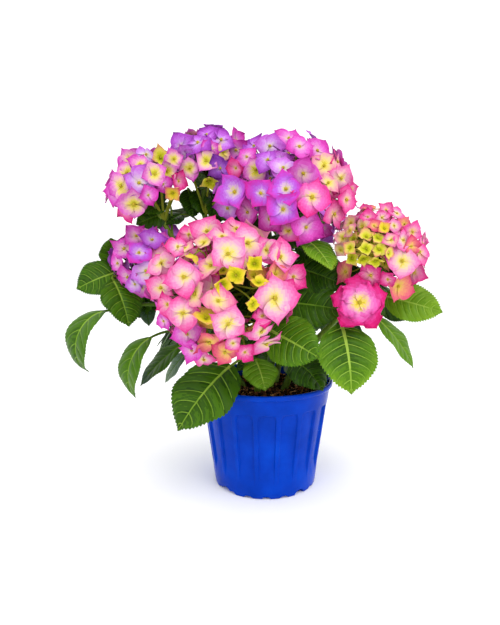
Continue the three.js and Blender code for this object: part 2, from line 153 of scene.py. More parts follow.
PETALS = {
    # from the eye outwards to the margin
    "pink": [(214, 200, 44), (248, 226, 116), (253, 222, 172), (253, 198, 202), (250, 168, 206), (248, 138, 196), (244, 108, 178), (240, 76, 158), (228, 48, 134)],
    "pearl": [(178, 180, 24), (222, 214, 62), (244, 228, 112), (250, 218, 168), (246, 188, 204), (240, 150, 214), (230, 112, 206), (216, 80, 190), (196, 52, 166)],
    "rose": [(214, 196, 50), (248, 206, 130), (251, 180, 192), (249, 148, 194), (246, 120, 182), (241, 94, 168), (234, 66, 150), (222, 42, 130), (200, 24, 104)],
    "magenta": [(232, 206, 50), (250, 226, 120), (252, 196, 200), (248, 140, 206), (244, 112, 196), (243, 92, 180), (240, 62, 156), (230, 38, 130), (206, 20, 104)],
    "cream": [(200, 194, 30), (236, 218, 80), (249, 228, 128), (251, 216, 160), (249, 194, 172), (246, 168, 180), (242, 140, 176), (236, 110, 162), (222, 78, 142)],
    "yellow": [(150, 156, 8), (186, 186, 16), (216, 206, 30), (234, 214, 44), (244, 218, 64), (247, 206, 84), (243, 176, 100), (236, 134, 116), (220, 88, 112)],
    "lime": [(122, 142, 8), (152, 166, 12), (182, 192, 20), (204, 208, 34), (220, 218, 56), (232, 224, 86), (240, 216, 108), (238, 184, 118), (224, 132, 116)],
    "salmon": [(222, 196, 50), (243, 212, 90), (249, 194, 118), (247, 166, 124), (243, 140, 128), (238, 114, 132), (233, 92, 128), (224, 70, 112), (206, 48, 96)],
    "lilac": [(206, 200, 84), (236, 216, 216), (230, 196, 236), (224, 170, 240), (218, 146, 238), (212, 120, 228), (202, 98, 214), (190, 76, 196), (168, 54, 172)],
    "orchid": [(220, 194, 90), (246, 206, 208), (244, 176, 220), (240, 146, 222), (236, 116, 218), (232, 92, 204), (222, 70, 188), (204, 52, 168), (176, 36, 142)],
    "purple": [(200, 184, 100), (222, 184, 230), (214, 152, 240), (208, 124, 236), (198, 102, 224), (184, 84, 208), (168, 66, 190), (150, 52, 170), (126, 38, 142)],
    "star": [(222, 204, 60), (242, 224, 200), (222, 176, 244), (206, 128, 240), (202, 96, 230), (210, 76, 212), (220, 64, 196), (224, 50, 178), (206, 38, 154)],
    "violet": [(190, 168, 104), (206, 164, 230), (192, 132, 232), (182, 110, 226), (170, 92, 214), (156, 78, 198), (140, 64, 180), (122, 50, 158), (100, 38, 132)],
}
for _name, _stops in PETALS.items():
    ramp("petal_" + _name, _stops, 11, 0.6, 0.0)
    # a petal's back gets paler tones: painted light, standing in for the light that comes through it
    ramp("back_" + _name, [0.93 * np.array(_stops[k], float) + 18 for k in ((3, 5) if _name in ("lime", "yellow") else (3, 6))], 3, 0.6, 0.0)

_made = {}
ALBEDO = 0.73  # the tones above are as seen in studio light, which is brighter than a white card's share


def tone_material(name):
    """A plain tone: one base colour and one roughness over all of its faces."""
    if name not in _made:
        colour, rough, sheen = TONES[name]
        m = bpy.data.materials.new(name)
        m.use_nodes = True
        p = m.node_tree.nodes["Principled BSDF"]
        p.inputs["Base Color"].default_value = (*(x * ALBEDO for x in linear(colour)), 1)
        p.inputs["Roughness"].default_value = rough
        p.inputs["Specular IOR Level"].default_value = 0.08 if name.startswith(("petal", "back")) else 0.10
        _made[name] = m
    return _made[name]


# ---------------------------------------------------------------- meshes from arrays
class Skin:
    """Collects closed pieces of surface, in millimetres, and writes them as one mesh."""

    def __init__(self):
        self.v, self.f, self.m, self.rim, self.n, self.names = [], [], [], [], 0, []

    def tone(self, name):
        if name not in self.names:
            self.names.append(name)
        return self.names.index(name)

    def put(self, verts, faces, tones, rim=None):
        """faces has four columns, with -1 in the last for a triangle."""
        base = self.n
        self.v.append(np.asarray(verts, float).reshape(-1, 3))
        faces = np.asarray(faces, int).reshape(-1, 4)
        self.f.append(np.where(faces >= 0, faces + base, -1))
        self.m.append(np.broadcast_to(np.asarray(tones, int), (len(faces),)).copy())
        self.rim.append(np.zeros(len(self.v[-1]), bool) if rim is None else rim)
        self.n += len(self.v[-1])

    def sheet(self, top, thick, over, under):
        """A thin closed sheet. top is a grid of points, rows along and columns across, with its upper side by the right-hand rule; over and under are the tones of its faces."""
        rows, cols, _ = top.shape
        along, across = np.gradient(top, axis=0), np.gradient(top, axis=1)
        normal = np.cross(along, across)
        size = np.linalg.norm(normal, axis=2, keepdims=True)
        normal = normal / np.maximum(size, 1e-9)
        idx = np.arange(rows * cols).reshape(rows, cols)
        low = idx.copy()
        low[1:-1, 1:-1] = rows * cols + np.arange((rows - 2) * (cols - 2)).reshape(rows - 2, cols - 2)
        verts = np.concatenate([top.reshape(-1, 3), (top - normal * thick)[1:-1, 1:-1].reshape(-1, 3)])
        quad = lambda a: np.stack([a[:-1, :-1], a[1:, :-1], a[1:, 1:], a[:-1, 1:]], -1).reshape(-1, 4)
        faces = np.concatenate([quad(idx), quad(low)[:, ::-1]])
        tones = np.concatenate([np.broadcast_to(over, (rows - 1, cols - 1)).ravel(), np.broadcast_to(under, (rows - 1, cols - 1)).ravel()])
        edge = np.zeros(len(verts), bool)
        flag = np.ones((rows, cols), bool)
        flag[1:-1, 1:-1] = False
        edge[: rows * cols] = flag.ravel()
        self.put(verts, faces, tones, edge)

    def tube(self, points, radii, sides, tone, ridges=0, depth=0.0, turn=0.0):
        """A tapering limb along points, closed at both ends. tone is one index or one for each length."""
        pts = np.asarray(points, float)
        n = len(pts)
        radii = np.broadcast_to(np.asarray(radii, float), (n,))
        t = np.gradient(pts, axis=0)
        t /= np.linalg.norm(t, axis=1, keepdims=True)
        u = np.cross(t[0], [0.31, 0.52, 0.79])
        u /= np.linalg.norm(u)
        us = []
        for k in range(n):
            u = u - t[k] * (u @ t[k])
            u = u / np.linalg.norm(u)
            us.append(u)
        us = np.array(us)
        vs = np.cross(t, us)
        a = np.arange(sides) / sides * 2 * np.pi + turn
        swell = 1 + depth * np.cos(ridges * a) if ridges else np.ones(sides)
        ring = pts[:, None] + radii[:, None, None] * swell[None, :, None] * (us[:, None] * np.cos(a)[None, :, None] + vs[:, None] * np.sin(a)[None, :, None])
        idx = np.arange(n * sides).reshape(n, sides)
        nxt = np.roll(idx, -1, axis=1)
        walls = np.stack([idx[:-1], nxt[:-1], nxt[1:], idx[1:]], -1).reshape(-1, 4)
        c0, c1 = n * sides, n * sides + 1
        none = np.full(sides, -1)
        caps = np.concatenate([np.stack([np.full(sides, c0), nxt[0], idx[0], none], -1), np.stack([np.full(sides, c1), idx[-1], nxt[-1], none], -1)])
        tone = np.asarray(tone)
        lengths = np.repeat(np.broadcast_to(tone, (n - 1,)) if tone.ndim == 0 else tone[: n - 1], sides)
        tones = np.concatenate([lengths, np.full(sides, lengths[0]), np.full(sides, lengths[-1])])
        self.put(np.concatenate([ring.reshape(-1, 3), pts[[0, -1]]]), np.concatenate([walls, caps]), tones)

    def write(self, name, materials=None):
        verts = np.concatenate(self.v) * 0.001
        faces = np.concatenate(self.f)
        tones = np.concatenate(self.m)
        tri = faces[:, 3] < 0
        keep = np.ones(faces.shape, bool)
        keep[:, 3] = ~tri
        loops = faces[keep]
        total = np.where(tri, 3, 4)
        start = np.concatenate([[0], np.cumsum(total)[:-1]])
        me = bpy.data.meshes.new(name)
        me.vertices.add(len(verts))
        me.vertices.foreach_set("co", verts.astype(np.float32).ravel())
        me.loops.add(len(loops))
        me.loops.foreach_set("vertex_index", loops.astype(np.int32))
        me.polygons.add(len(faces))
        me.polygons.foreach_set("loop_start", start.astype(np.int32))
        me.update(calc_edges=True)
        me.polygons.foreach_set("material_index", tones.astype(np.int32))
        me.polygons.foreach_set("use_smooth", np.ones(len(faces), bool))
        rim = np.concatenate(self.rim)
        ends = np.zeros(len(me.edges) * 2, np.int32)
        me.edges.foreach_get("vertices", ends)
        sharp = rim[ends.reshape(-1, 2)].all(1)
        layer = me.attributes.get("sharp_edge") or me.attributes.new("sharp_edge", "BOOLEAN", "EDGE")
        layer.data.foreach_set("value", sharp)
        for tone in self.names:
            me.materials.append((materials or {}).get(tone) or tone_material(tone))
        me.update()
        o = bpy.data.objects.new(name, me)
        scene.collection.objects.link(o)
        return o


def unit(a):
    a = np.asarray(a, float)
    return a / np.linalg.norm(a, axis=-1, keepdims=True)


def bezier(points, t):
    a, b, c, d = (np.asarray(p, float) for p in points)
    t = np.asarray(t, float)[..., None]
    return a * (1 - t) ** 3 + 3 * b * t * (1 - t) ** 2 + 3 * c * t * t * (1 - t) + d * t**3


def square(axis):
    """Two directions square to axis."""
    w = unit(axis)
    side = np.array([1.0, 0, 0]) if abs(w[2]) > 0.95 else unit(np.cross([0, 0, 1.0], w))
    u = unit(side - w * (side @ w))
    return u, np.cross(w, u), w


# ---------------------------------------------------------------- leaves
def outline(s):
    """Half width of a blade along its length: a broad oval drawn out into a short point."""
    body = np.clip(np.sin(np.pi * np.clip(s / 0.95, 0, 1) ** 0.92), 0, 1) ** 0.62 * (1 - 0.04 * s)
    return np.maximum(body, 0.20 * np.clip((1 - s) / 0.12, 0, 1) ** 0.9)


def blade(base, tip, bend, roll):
    """The midrib as an arc: gives point, direction, upper side and sideways at s."""
    A, T = np.asarray(base, float), np.asarray(tip, float)
    ln = np.linalg.norm(T - A)
    c = (T - A) / ln
    n0 = unit(np.array([0, 0, 1.0]) - c * c[2])
    s0 = np.cross(c, n0)
    r = math.radians(roll)
    n = n0 * math.cos(r) + s0 * math.sin(r)
    side = unit(np.cross(c, n))
    h = math.radians(bend) / 2
    full = ln * h / math.sin(h)

    def at(s):
        a = h - 2 * h * s
        x = full * (math.sin(h) - np.sin(a)) / (2 * h)
        y = full * (np.cos(a) - math.cos(h)) / (2 * h)
        e = lambda k: k[..., None]
        return A + c * e(x) + n * e(y), c * e(np.cos(a)) + n * e(np.sin(a)), n * e(np.cos(a)) - c * e(np.sin(a)), side

    return at, full


def leaf(skin, base, tip, bend, width, roll, rng, tone=3.0, rim=0.0, tip_lift=0.0, vein=1.5, rib=1.2, laterals=7, greyer=None, rows=88, half=8, teeth=22, quilt=1.15, wave=1.3, tooth=2.1, thick=0.5, fold=0.14, under=1.5):
    at, full = blade(base, tip, bend, roll)
    u = np.linspace(0, 1, rows + 1)[:, None]
    q = np.linspace(0, 1, half) ** 0.92
    mid = np.clip(rib * (1 - 0.72 * u) / np.maximum(width / 2 * outline(u), 1.2), 0.02, 0.6)
    right = mid + (1 - mid) * q[None, :]
    t = np.concatenate([right[:, ::-1], np.zeros((rows + 1, 1)), -right], 1)
    tau = np.abs(t)
    sweep = (1 - np.exp(-u / 0.07)) * (1 - np.exp(-(1 - u) / 0.30)) / (1 - math.exp(-1 / 0.30))
    s = np.clip(u + (0.16 * tau + 0.09 * tau**2.6) * sweep, 0, 1)
    w = np.maximum(width / 2 * outline(s), 0.9 * (1 - s) + 0.25)
    point, along, over, side = at(s)
    # teeth that lean forward along the margin
    k = (u * teeth) % 1.0
    saw = np.where(k < 0.999, k, 0) ** 0.9 * np.clip(np.sin(np.pi * u) * 2.2, 0, 1)
    edge = (tau > 0.999) * saw * tooth * min(1.0, width / 44)
    # blade relief: a trough at the midrib, sunk laterals with the tissue swelling between them, and a waving margin
    ph = rng.uniform(0, 6.28, 2)
    phase = np.where(t > 0, ph[0], ph[1])
    first = 0.05
    beat = np.abs(np.sin(np.pi * laterals * (u - first))) ** 0.7
    scale = width / 60
    lift = fold * tau * w - 0.16 * tau**2 * w * 0.8
    lift = lift + quilt * scale * beat * np.clip(3.2 * tau * (1.04 - tau), 0, 1) ** 0.6
    lift = lift + wave * scale * 1.5 * tau**2 * np.sin(2 * np.pi * 2.1 * s + phase) * np.sin(np.pi * np.clip(s, 0, 1))
    lift = lift - 0.55 * scale * np.exp(-((tau * w / 1.8) ** 2))
    p = point + side * (np.sign(t) * (tau * w + edge))[..., None] + along * (edge * 0.55)[..., None] + over * lift[..., None]
    # tones
    um = (u[:-1] + u[1:]) / 2
    tm = (tau[:-1, :-1] + tau[1:, 1:] + tau[:-1, 1:] + tau[1:, :-1]) / 4
    sm = (s[:-1, :-1] + s[1:, 1:]) / 2
    left = (t[:-1, :-1] + t[1:, 1:]) / 2 < 0
    cell = np.floor(laterals * (um - first)).astype(int) + 2
    fleck = rng.normal(0, 0.28, (2, laterals + 6))
    jitter = fleck[left.astype(int), np.broadcast_to(cell, tm.shape)]
    bm = np.abs(np.sin(np.pi * laterals * (um - first)))
    level = tone + rim * tm**2.2 + tip_lift * sm**3.2 + jitter + 0.9 * (bm - 0.6) + rng.normal(0, 0.22, tm.shape)
    fi = np.clip(np.round(level), 0, len(GREEN) - 1).astype(int)
    names = np.array([skin.tone(g) for g in GREEN])
    tones = names[fi]
    if greyer is not None:
        blue = np.array([skin.tone(g) for g in BLUISH])
        bi = np.clip(np.round((sm - greyer) * 3.5 + rng.normal(0.6, 0.25, tm.shape) + 0.9), 0, len(BLUISH) - 1).astype(int)
        tones = np.where(sm + rng.normal(0, 0.05, tm.shape) > greyer, blue[bi], tones)
    veins = np.array([skin.tone(g) for g in VEIN])
    off = np.abs(laterals * (um - first) - np.round(laterals * (um - first))) * rows / laterals
    vi = np.clip(np.round(tone * 0.5 + vein * 0.95 - 1.7 * tm), 0, len(VEIN) - 1).astype(int)
    on = (off < 0.5) & (tm < 0.84) & (um > first * 0.6) & (um < 0.94)
    tones = np.where(np.broadcast_to(on, tm.shape), veins[vi], tones)
    middle = np.zeros(tm.shape, bool)
    middle[:, half - 1 : half + 1] = True
    ri = np.clip(np.round(tone * 0.4 + vein * 1.15 + 0.8 - 2.2 * sm), 0, len(VEIN) - 1).astype(int)
    tones = np.where(middle, veins[ri], tones)
    lows = np.array([skin.tone(g) for g in UNDER])
    back = np.where(on & (tm < 0.9), lows[-1], lows[np.clip(np.round(under + rng.normal(0, 0.3, tm.shape)), 0, 2).astype(int)])
    back = np.where(middle, lows[-1], back)
    skin.sheet(p, thick, tones, back)
    return at


def stalk(skin, points, r0, r1, tones, sides=8, steps=14, bump=0.0):
    """A leaf or twig stalk along a Bezier, thickest where it joins."""
    t = np.linspace(0, 1, steps)
    pts = bezier(points, t)
    r = r0 + (r1 - r0) * t ** 0.8
    r = r * (1 + bump * np.exp(-((t / 0.08) ** 2)))
    skin.tube(pts, r, sides, tones)


def petiole(skin, stem, up, base, start, rng, r0=2.3, r1=1.35, shade=1.5):
    root = bezier(STEMS[stem], np.array(up))
    A = np.asarray(base, float)
    reach = np.linalg.norm(A - root)
    pts = [root, root + (A - root) * 0.35 + [0, 0, reach * 0.12], A - start * 0.35 * reach, A + start * 1.5]
    idx = skin.tone(STALK[int(np.clip(round(shade), 0, 3))])
    stalk(skin, pts, r0, r1, idx, bump=0.35)


rng = np.random.default_rng(20)
near_leaves, stalks = Skin(), Skin()
for name, (stem, up, base, tip, bend, width, roll, look) in LEAVES.items():
    look = dict(look)
    look["tip_lift"] = look.pop("tip", 0.0)
    small = width < 34
    at = leaf(near_leaves, base, tip, bend, width, roll, rng, rows=66 if small else 88, teeth=22, half=7 if small else 9, **look)
    _, along, _, _ = at(np.array([0.0]))
    petiole(stalks, stem, up, base, along[0], rng, shade=1.0 + (width > 44) * 1.0)

# the inner and back foliage: a twig off the nearest stem, with whorls of leaves round its end
mass_leaves = {}
for name, (at0, axis, reach, droop, lobes, turn, tone, stem) in MASSES.items():
    skin = mass_leaves.setdefault("foliage_front" if "back" not in name and name not in ("foliage_left", "foliage_right") else "foliage_" + ("back" if "back" in name else "sides"), Skin())
    at0 = np.array(at0, float)
    u, v, w = square(axis)
    ts = np.linspace(0.12, 0.92, 60)
    curve = bezier(STEMS[stem], ts)
    cost = np.linalg.norm(curve - at0, axis=1) + 0.5 * np.maximum(curve[:, 2] - at0[2] + 12, 0) * 3
    k = int(np.argmin(cost))
    root = curve[k]
    tangent = unit(curve[min(k + 1, 59)] - curve[max(k - 1, 0)])
    gap = np.linalg.norm(at0 - root)
    twig = [root, root + tangent * gap * 0.35, at0 - w * gap * 0.35, at0 + w * 3]
    stalk(stalks, twig, 2.6, 1.7, stalks.tone(STALK[1]), sides=8, steps=16, bump=0.3)
    a0 = math.radians(turn)
    whorls = [  # share of the reach, height, how many, turn, droop, width
        (0.97, 0.0, lobes, 0.0, 1.0, 0.62),
        (0.84, 5.0, lobes, 0.5, 0.75, 0.6),
        (0.62, 8.0, max(lobes - 2, 3), 0.25, 0.3, 0.58),
        (0.80, -5.0, max(lobes - 2, 3), 0.75, 1.15, 0.56),
    ]
    for share, height, count, shift, down, wide in whorls:
        for j in range(count):
            a = a0 + (j + shift + rng.uniform(-0.12, 0.12)) / count * 2 * math.pi
            out = u * math.cos(a) + v * math.sin(a)
            r = reach * share * rng.uniform(0.92, 1.0)
            inner = 0.2 * reach + rng.uniform(-2, 3)
            A = at0 + out * inner + w * (height + rng.uniform(0, 2))
            T = at0 + out * r + w * (height - droop * down * (r / reach) ** 2 * rng.uniform(0.85, 1.1))
            length = np.linalg.norm(T - A)
            c = unit(T - A)
            n0 = unit(np.array([0, 0, 1.0]) - c * c[2])
            s0 = np.cross(c, n0)
            roll = math.degrees(math.atan2(s0 @ w, n0 @ w)) + rng.uniform(-12, 12)
            at = leaf(skin, A, T, rng.uniform(26, 52), length * wide * rng.uniform(1.15, 1.3), roll, rng, tone=tone + rng.uniform(-0.5, 0.7), rim=0.5, vein=1.3, rib=0.9, laterals=6, rows=36, half=5, teeth=12, quilt=0.9, wave=1.4, tooth=1.6)
            _, along, _, _ = at(np.array([0.0]))
            back = at0 - w * (6 + 10 * (height < 0) - height * 0.4)
            stalk(stalks, [back, back + (A - back) * 0.4, A - along[0] * 6, A + along[0] * 1.0], 1.5, 1.0, stalks.tone(STALK[1]), sides=6, steps=7)

# smaller leaves high on the stems, between the heads
rng = np.random.default_rng(31)
for stem, up, base, tip, bend, width, roll, tone in [
    ("stem_top_middle", 0.80, [-92, 26, 347], [-86, 16, 314], 30, 32, -10, 1.2),
    ("stem_top_middle", 0.86, [-54, 34, 348], [-46, 20, 312], 30, 36, 10, 1.0),
    ("stem_top_middle", 0.83, [-76, 38, 352], [-66, 28, 316], 26, 36, 0, 1.6),
    ("stem_top_middle", 0.72, [-84, 30, 345], [-73, 18, 317], 40, 27, 10, 2.0),
    ("stem_top_middle", 0.66, [-66, 20, 342], [-58, 6, 310], 30, 30, -20, 1.4),
    ("stem_top_middle", 0.58, [-56, 20, 332], [-32, 0, 306], 36, 34, 25, 1.6),
    ("stem_top_middle", 0.52, [-98, 16, 318], [-116, 0, 306], 30, 24, -30, 1.2),
    ("stem_top_left", 0.80, [-116, 8, 331], [-137, -8, 318], 30, 23, -40, 2.6),
    ("stem_top_right", 0.78, [4, -8, 302], [-22, -26, 296], 40, 36, -50, 1.6),
    ("stem_top_right", 0.74, [16, -10, 296], [22, -44, 276], 40, 34, 10, 2.0),
    ("stem_top_right", 0.66, [34, 2, 280], [74, 4, 268], 34, 40, 50, 1.6),
    ("stem_right", 0.92, [112, -22, 252], [92, -44, 246], 34, 30, -50, 2.0),
    ("stem_front", 0.55, [-14, -48, 190], [6, -66, 170], 40, 34, 40, 1.6),
    ("stem_front", 0.48, [-36, -38, 186], [-62, -62, 168], 40, 34, -40, 1.8),
]:
    at = leaf(near_leaves, base, tip, bend, width, roll, rng, tone=tone, rim=0.6, vein=1.4, rib=0.8, laterals=6, rows=48, half=6, teeth=15, quilt=1.0, wave=1.3)
    _, along, _, _ = at(np.array([0.0]))
    petiole(stalks, stem, up, base, along[0], rng, r0=1.7, r1=1.0)

# crossed pairs of leaves up the back stems, and a few behind the upper heads
rng = np.random.default_rng(41)
for stem, ups, turn, both in [("stem_back_right", (0.56, 0.70, 0.84), 0.2, True), ("stem_back_left", (0.70, 0.86), 0.9, True), ("stem_top_right", (0.66, 0.80), 1.2, False), ("stem_top_middle", (0.66, 0.82), 1.9, False), ("stem_back", (0.72,), 0.3, True)]:
    for j, up in enumerate(ups):
        root = bezier(STEMS[stem], np.array(up))
        for side in (0, 1) if both else (0,):
            a = turn + side * math.pi + (j * math.pi / 2 if both else j * 0.8) + rng.uniform(-0.25, 0.25)
            out = np.array([math.cos(a), math.sin(a), 0.0])
            A = root + out * rng.uniform(13, 18) + [0, 0, 7]
            T = root + out * rng.uniform(56, 68) - [0, 0, rng.uniform(4, 22)]
            at = leaf(mass_leaves["foliage_back"], A, T, rng.uniform(22, 38), np.linalg.norm(T - A) * rng.uniform(0.66, 0.76), rng.uniform(-12, 12), rng, tone=rng.uniform(1.8, 2.8), rim=0.5, vein=1.6, rib=0.9, laterals=6, rows=28, half=5, teeth=12, quilt=0.9, wave=1.2, tooth=1.4)
            _, along, _, _ = at(np.array([0.0]))
            petiole(stalks, stem, up, A, along[0], rng, r0=1.8, r1=1.05)

# under each head a ring of leaves round the end of its stem
for name, (at0, axis, r, h, stem) in HEADS.items():
    skin = mass_leaves["foliage_back" if "back" in name else "foliage_sides"]
    u, v, w = square(axis)
    top = bezier(STEMS[stem], np.array(0.97))
    ring = 6 if r > 70 else 5
    for j in range(ring):
        a = (j + rng.uniform(-0.15, 0.15)) / ring * 2 * math.pi + 0.4
        out = u * math.cos(a) + v * math.sin(a)
        if name == "head_top_left" and out @ unit(CAMERA - top) > -0.1:
            continue  # this head stands open at the front, over bare stalks
        A = top + out * 5 - w * rng.uniform(0, 5)
        T = np.array(at0, float) + out * r * rng.uniform(0.60, 0.70) - w * h * rng.uniform(0.02, 0.12)
        c = unit(T - A)
        n0 = unit(np.array([0, 0, 1.0]) - c * c[2])
        roll = math.degrees(math.atan2(np.cross(c, n0) @ w, n0 @ w)) + rng.uniform(-10, 10)
        at = leaf(skin, A, T, rng.uniform(14, 34), np.linalg.norm(T - A) * rng.uniform(0.62, 0.74), roll, rng, tone=rng.uniform(1.0, 2.0), rim=0.4, vein=1.2, rib=0.9, laterals=6, rows=32, half=5, teeth=12, quilt=0.8, wave=1.0, tooth=1.3)
        _, along, _, _ = at(np.array([0.0]))
        stalk(stalks, [top - w * 2, top + (A - top) * 0.5, A - along[0] * 1.5, A + along[0] * 1.2], 1.5, 1.0, stalks.tone(STALK[1]), sides=6, steps=5)

# ---------------------------------------------------------------- florets
def sepal(skin, centre, n, d, length, width, pal, bias, rng, rows=10, cols=6, lift=0.15, curl=-0.15, twist=0.1, rise=0.0, point=1.28, ruffle=0.0):
    e = np.cross(n, d)
    s = np.linspace(0, 1, rows + 1)[:, None]
    t = np.linspace(-1, 1, cols + 1)[None, :] * np.ones_like(s)
    # broadest before the middle, running out nearly straight into a point
    widest = (0.80 - 0.02 * point) / (0.80 + point)
    shape = (s + 0.02) ** 0.80 * (1 - s) ** point / ((widest + 0.02) ** 0.80 * (1 - widest) ** point)
    shape = shape + 0.16 * np.exp(-((s / 0.16) ** 2))
    hw = np.maximum(width / 2 * shape, 0.25)
    lop = rng.uniform(-0.14, 0.14)
    ph = rng.uniform(0, 6.28, 2)
    ripple = rng.uniform(0.03, 0.075)
    x = length * (0.02 + 0.98 * s) + 0 * t
    y = t * hw * (1 + lop * t) + length * 0.05 * np.sin(3 * s + ph[0]) * s
    tau = np.abs(t)
    cup = rng.uniform(-0.16, 0.22)
    z = length * (lift * s + curl * s**2) + cup * tau**2 * hw + twist * y + rise
    z = z + length * ripple * tau**1.5 * np.sin(2 * np.pi * 1.2 * s + np.where(t > 0, ph[0], ph[1]))
    if ruffle:  # a wavier margin, in its outline too
        beat = np.sin(2 * np.pi * 3.4 * s + np.where(t > 0, ph[1], ph[0])) * np.clip(s * 2, 0, 1)
        y = y + np.sign(t) * hw * 1.6 * ruffle * tau**3 * beat
        z = z + length * ruffle * tau**2 * beat
    z = z - 0.05 * length * np.exp(-((t / 0.25) ** 2)) * np.sin(np.pi * s)
    x = x - length * 0.05 * (tau**2) * s
    p = centre + d * x[..., None] + e * y[..., None] + n * z[..., None]
    sm = (s[:-1] + s[1:]) / 2
    tm = np.abs((t[:-1, :-1] + t[1:, 1:]) / 2)
    # the colour runs outwards from the eye in rings, with faint veins along the petal
    out = np.hypot(x, y) / length
    out = (out[:-1, :-1] + out[1:, 1:] + out[:-1, 1:] + out[1:, :-1]) / 4
    v = 0.86 * out**0.88 + 0.08 * tm**2 * np.clip(sm * 2.2, 0, 1) + bias * np.clip(sm * 5, 0.2, 1) + rng.normal(0, 0.012, tm.shape)
    v = v + 0.035 * np.sin(9 * tm + ph[0]) * sm
    fi = np.clip(np.floor(v * 11), 0, 10).astype(int)
    names = np.array([skin.tone(f"petal_{pal}_{i}") for i in range(11)])
    # the backs take the paler tones: painted light shining through the petal
    backs = np.array([skin.tone(f"back_{pal}_{i}") for i in range(3)])
    bi = np.clip(np.floor((0.1 + sm + 0 * tm) * 3), 0, 2).astype(int)
    skin.sheet(p, 0.45, names[fi], backs[bi])


def floret(skin, centre, n, size, pal, rng, bias=0.0, sepals=4, spin=None, broad=1.0, lift=None, curl=None, detail=1.0):
    n = unit(n)
    u, v, _ = square(n)
    spin = rng.uniform(0, 2 * math.pi) if spin is None else spin
    lift = rng.uniform(-0.02, 0.44) if lift is None else lift
    curl = rng.uniform(-0.34, 0.04) if curl is None else curl
    if pal in ("lime", "yellow"):  # the youngest ones are narrow and stand half open
        broad, lift, size = broad * (0.84 if pal == "lime" else 0.92), rng.uniform(0.25, 0.75), size * (1.0 if pal == "lime" else 0.86)
    hand = 1 if rng.uniform() < 0.5 else -1
    rows, cols = (14, 8) if detail > 1 else (10, 6) if detail == 1 else (7, 4)
    for k in range(sepals):
        a = spin + (k + rng.uniform(-0.07, 0.07)) / sepals * 2 * math.pi
        d = u * math.cos(a) + v * math.sin(a)
        length = size / 2 * rng.uniform(1.08, 1.36)
        width = length * (1.04 if sepals == 4 else 0.98) * rng.uniform(0.90, 1.14) * broad
        sepal(skin, centre, n, d, length, width, pal, bias + rng.uniform(-0.07, 0.08), rng, rows, cols, lift=lift + rng.uniform(-0.12, 0.12), curl=curl + rng.uniform(-0.12, 0.10), twist=hand * rng.uniform(0.05, 0.20), rise=0.45 * (k % 2), point=rng.uniform(1.1, 1.6))
    r = max(0.95, size * 0.054)
    h = np.array([-0.5, 0.45, 1.0, 1.3]) * r
    skin.tube(centre + n * (0.6 + h[:, None]), np.array([0.8, 1.0, 0.8, 0.3]) * r, 8, [skin.tone(BEAD[0]), skin.tone(BEAD[1 if pal in ("lime", "yellow") else 2]), skin.tone(BEAD[1])])


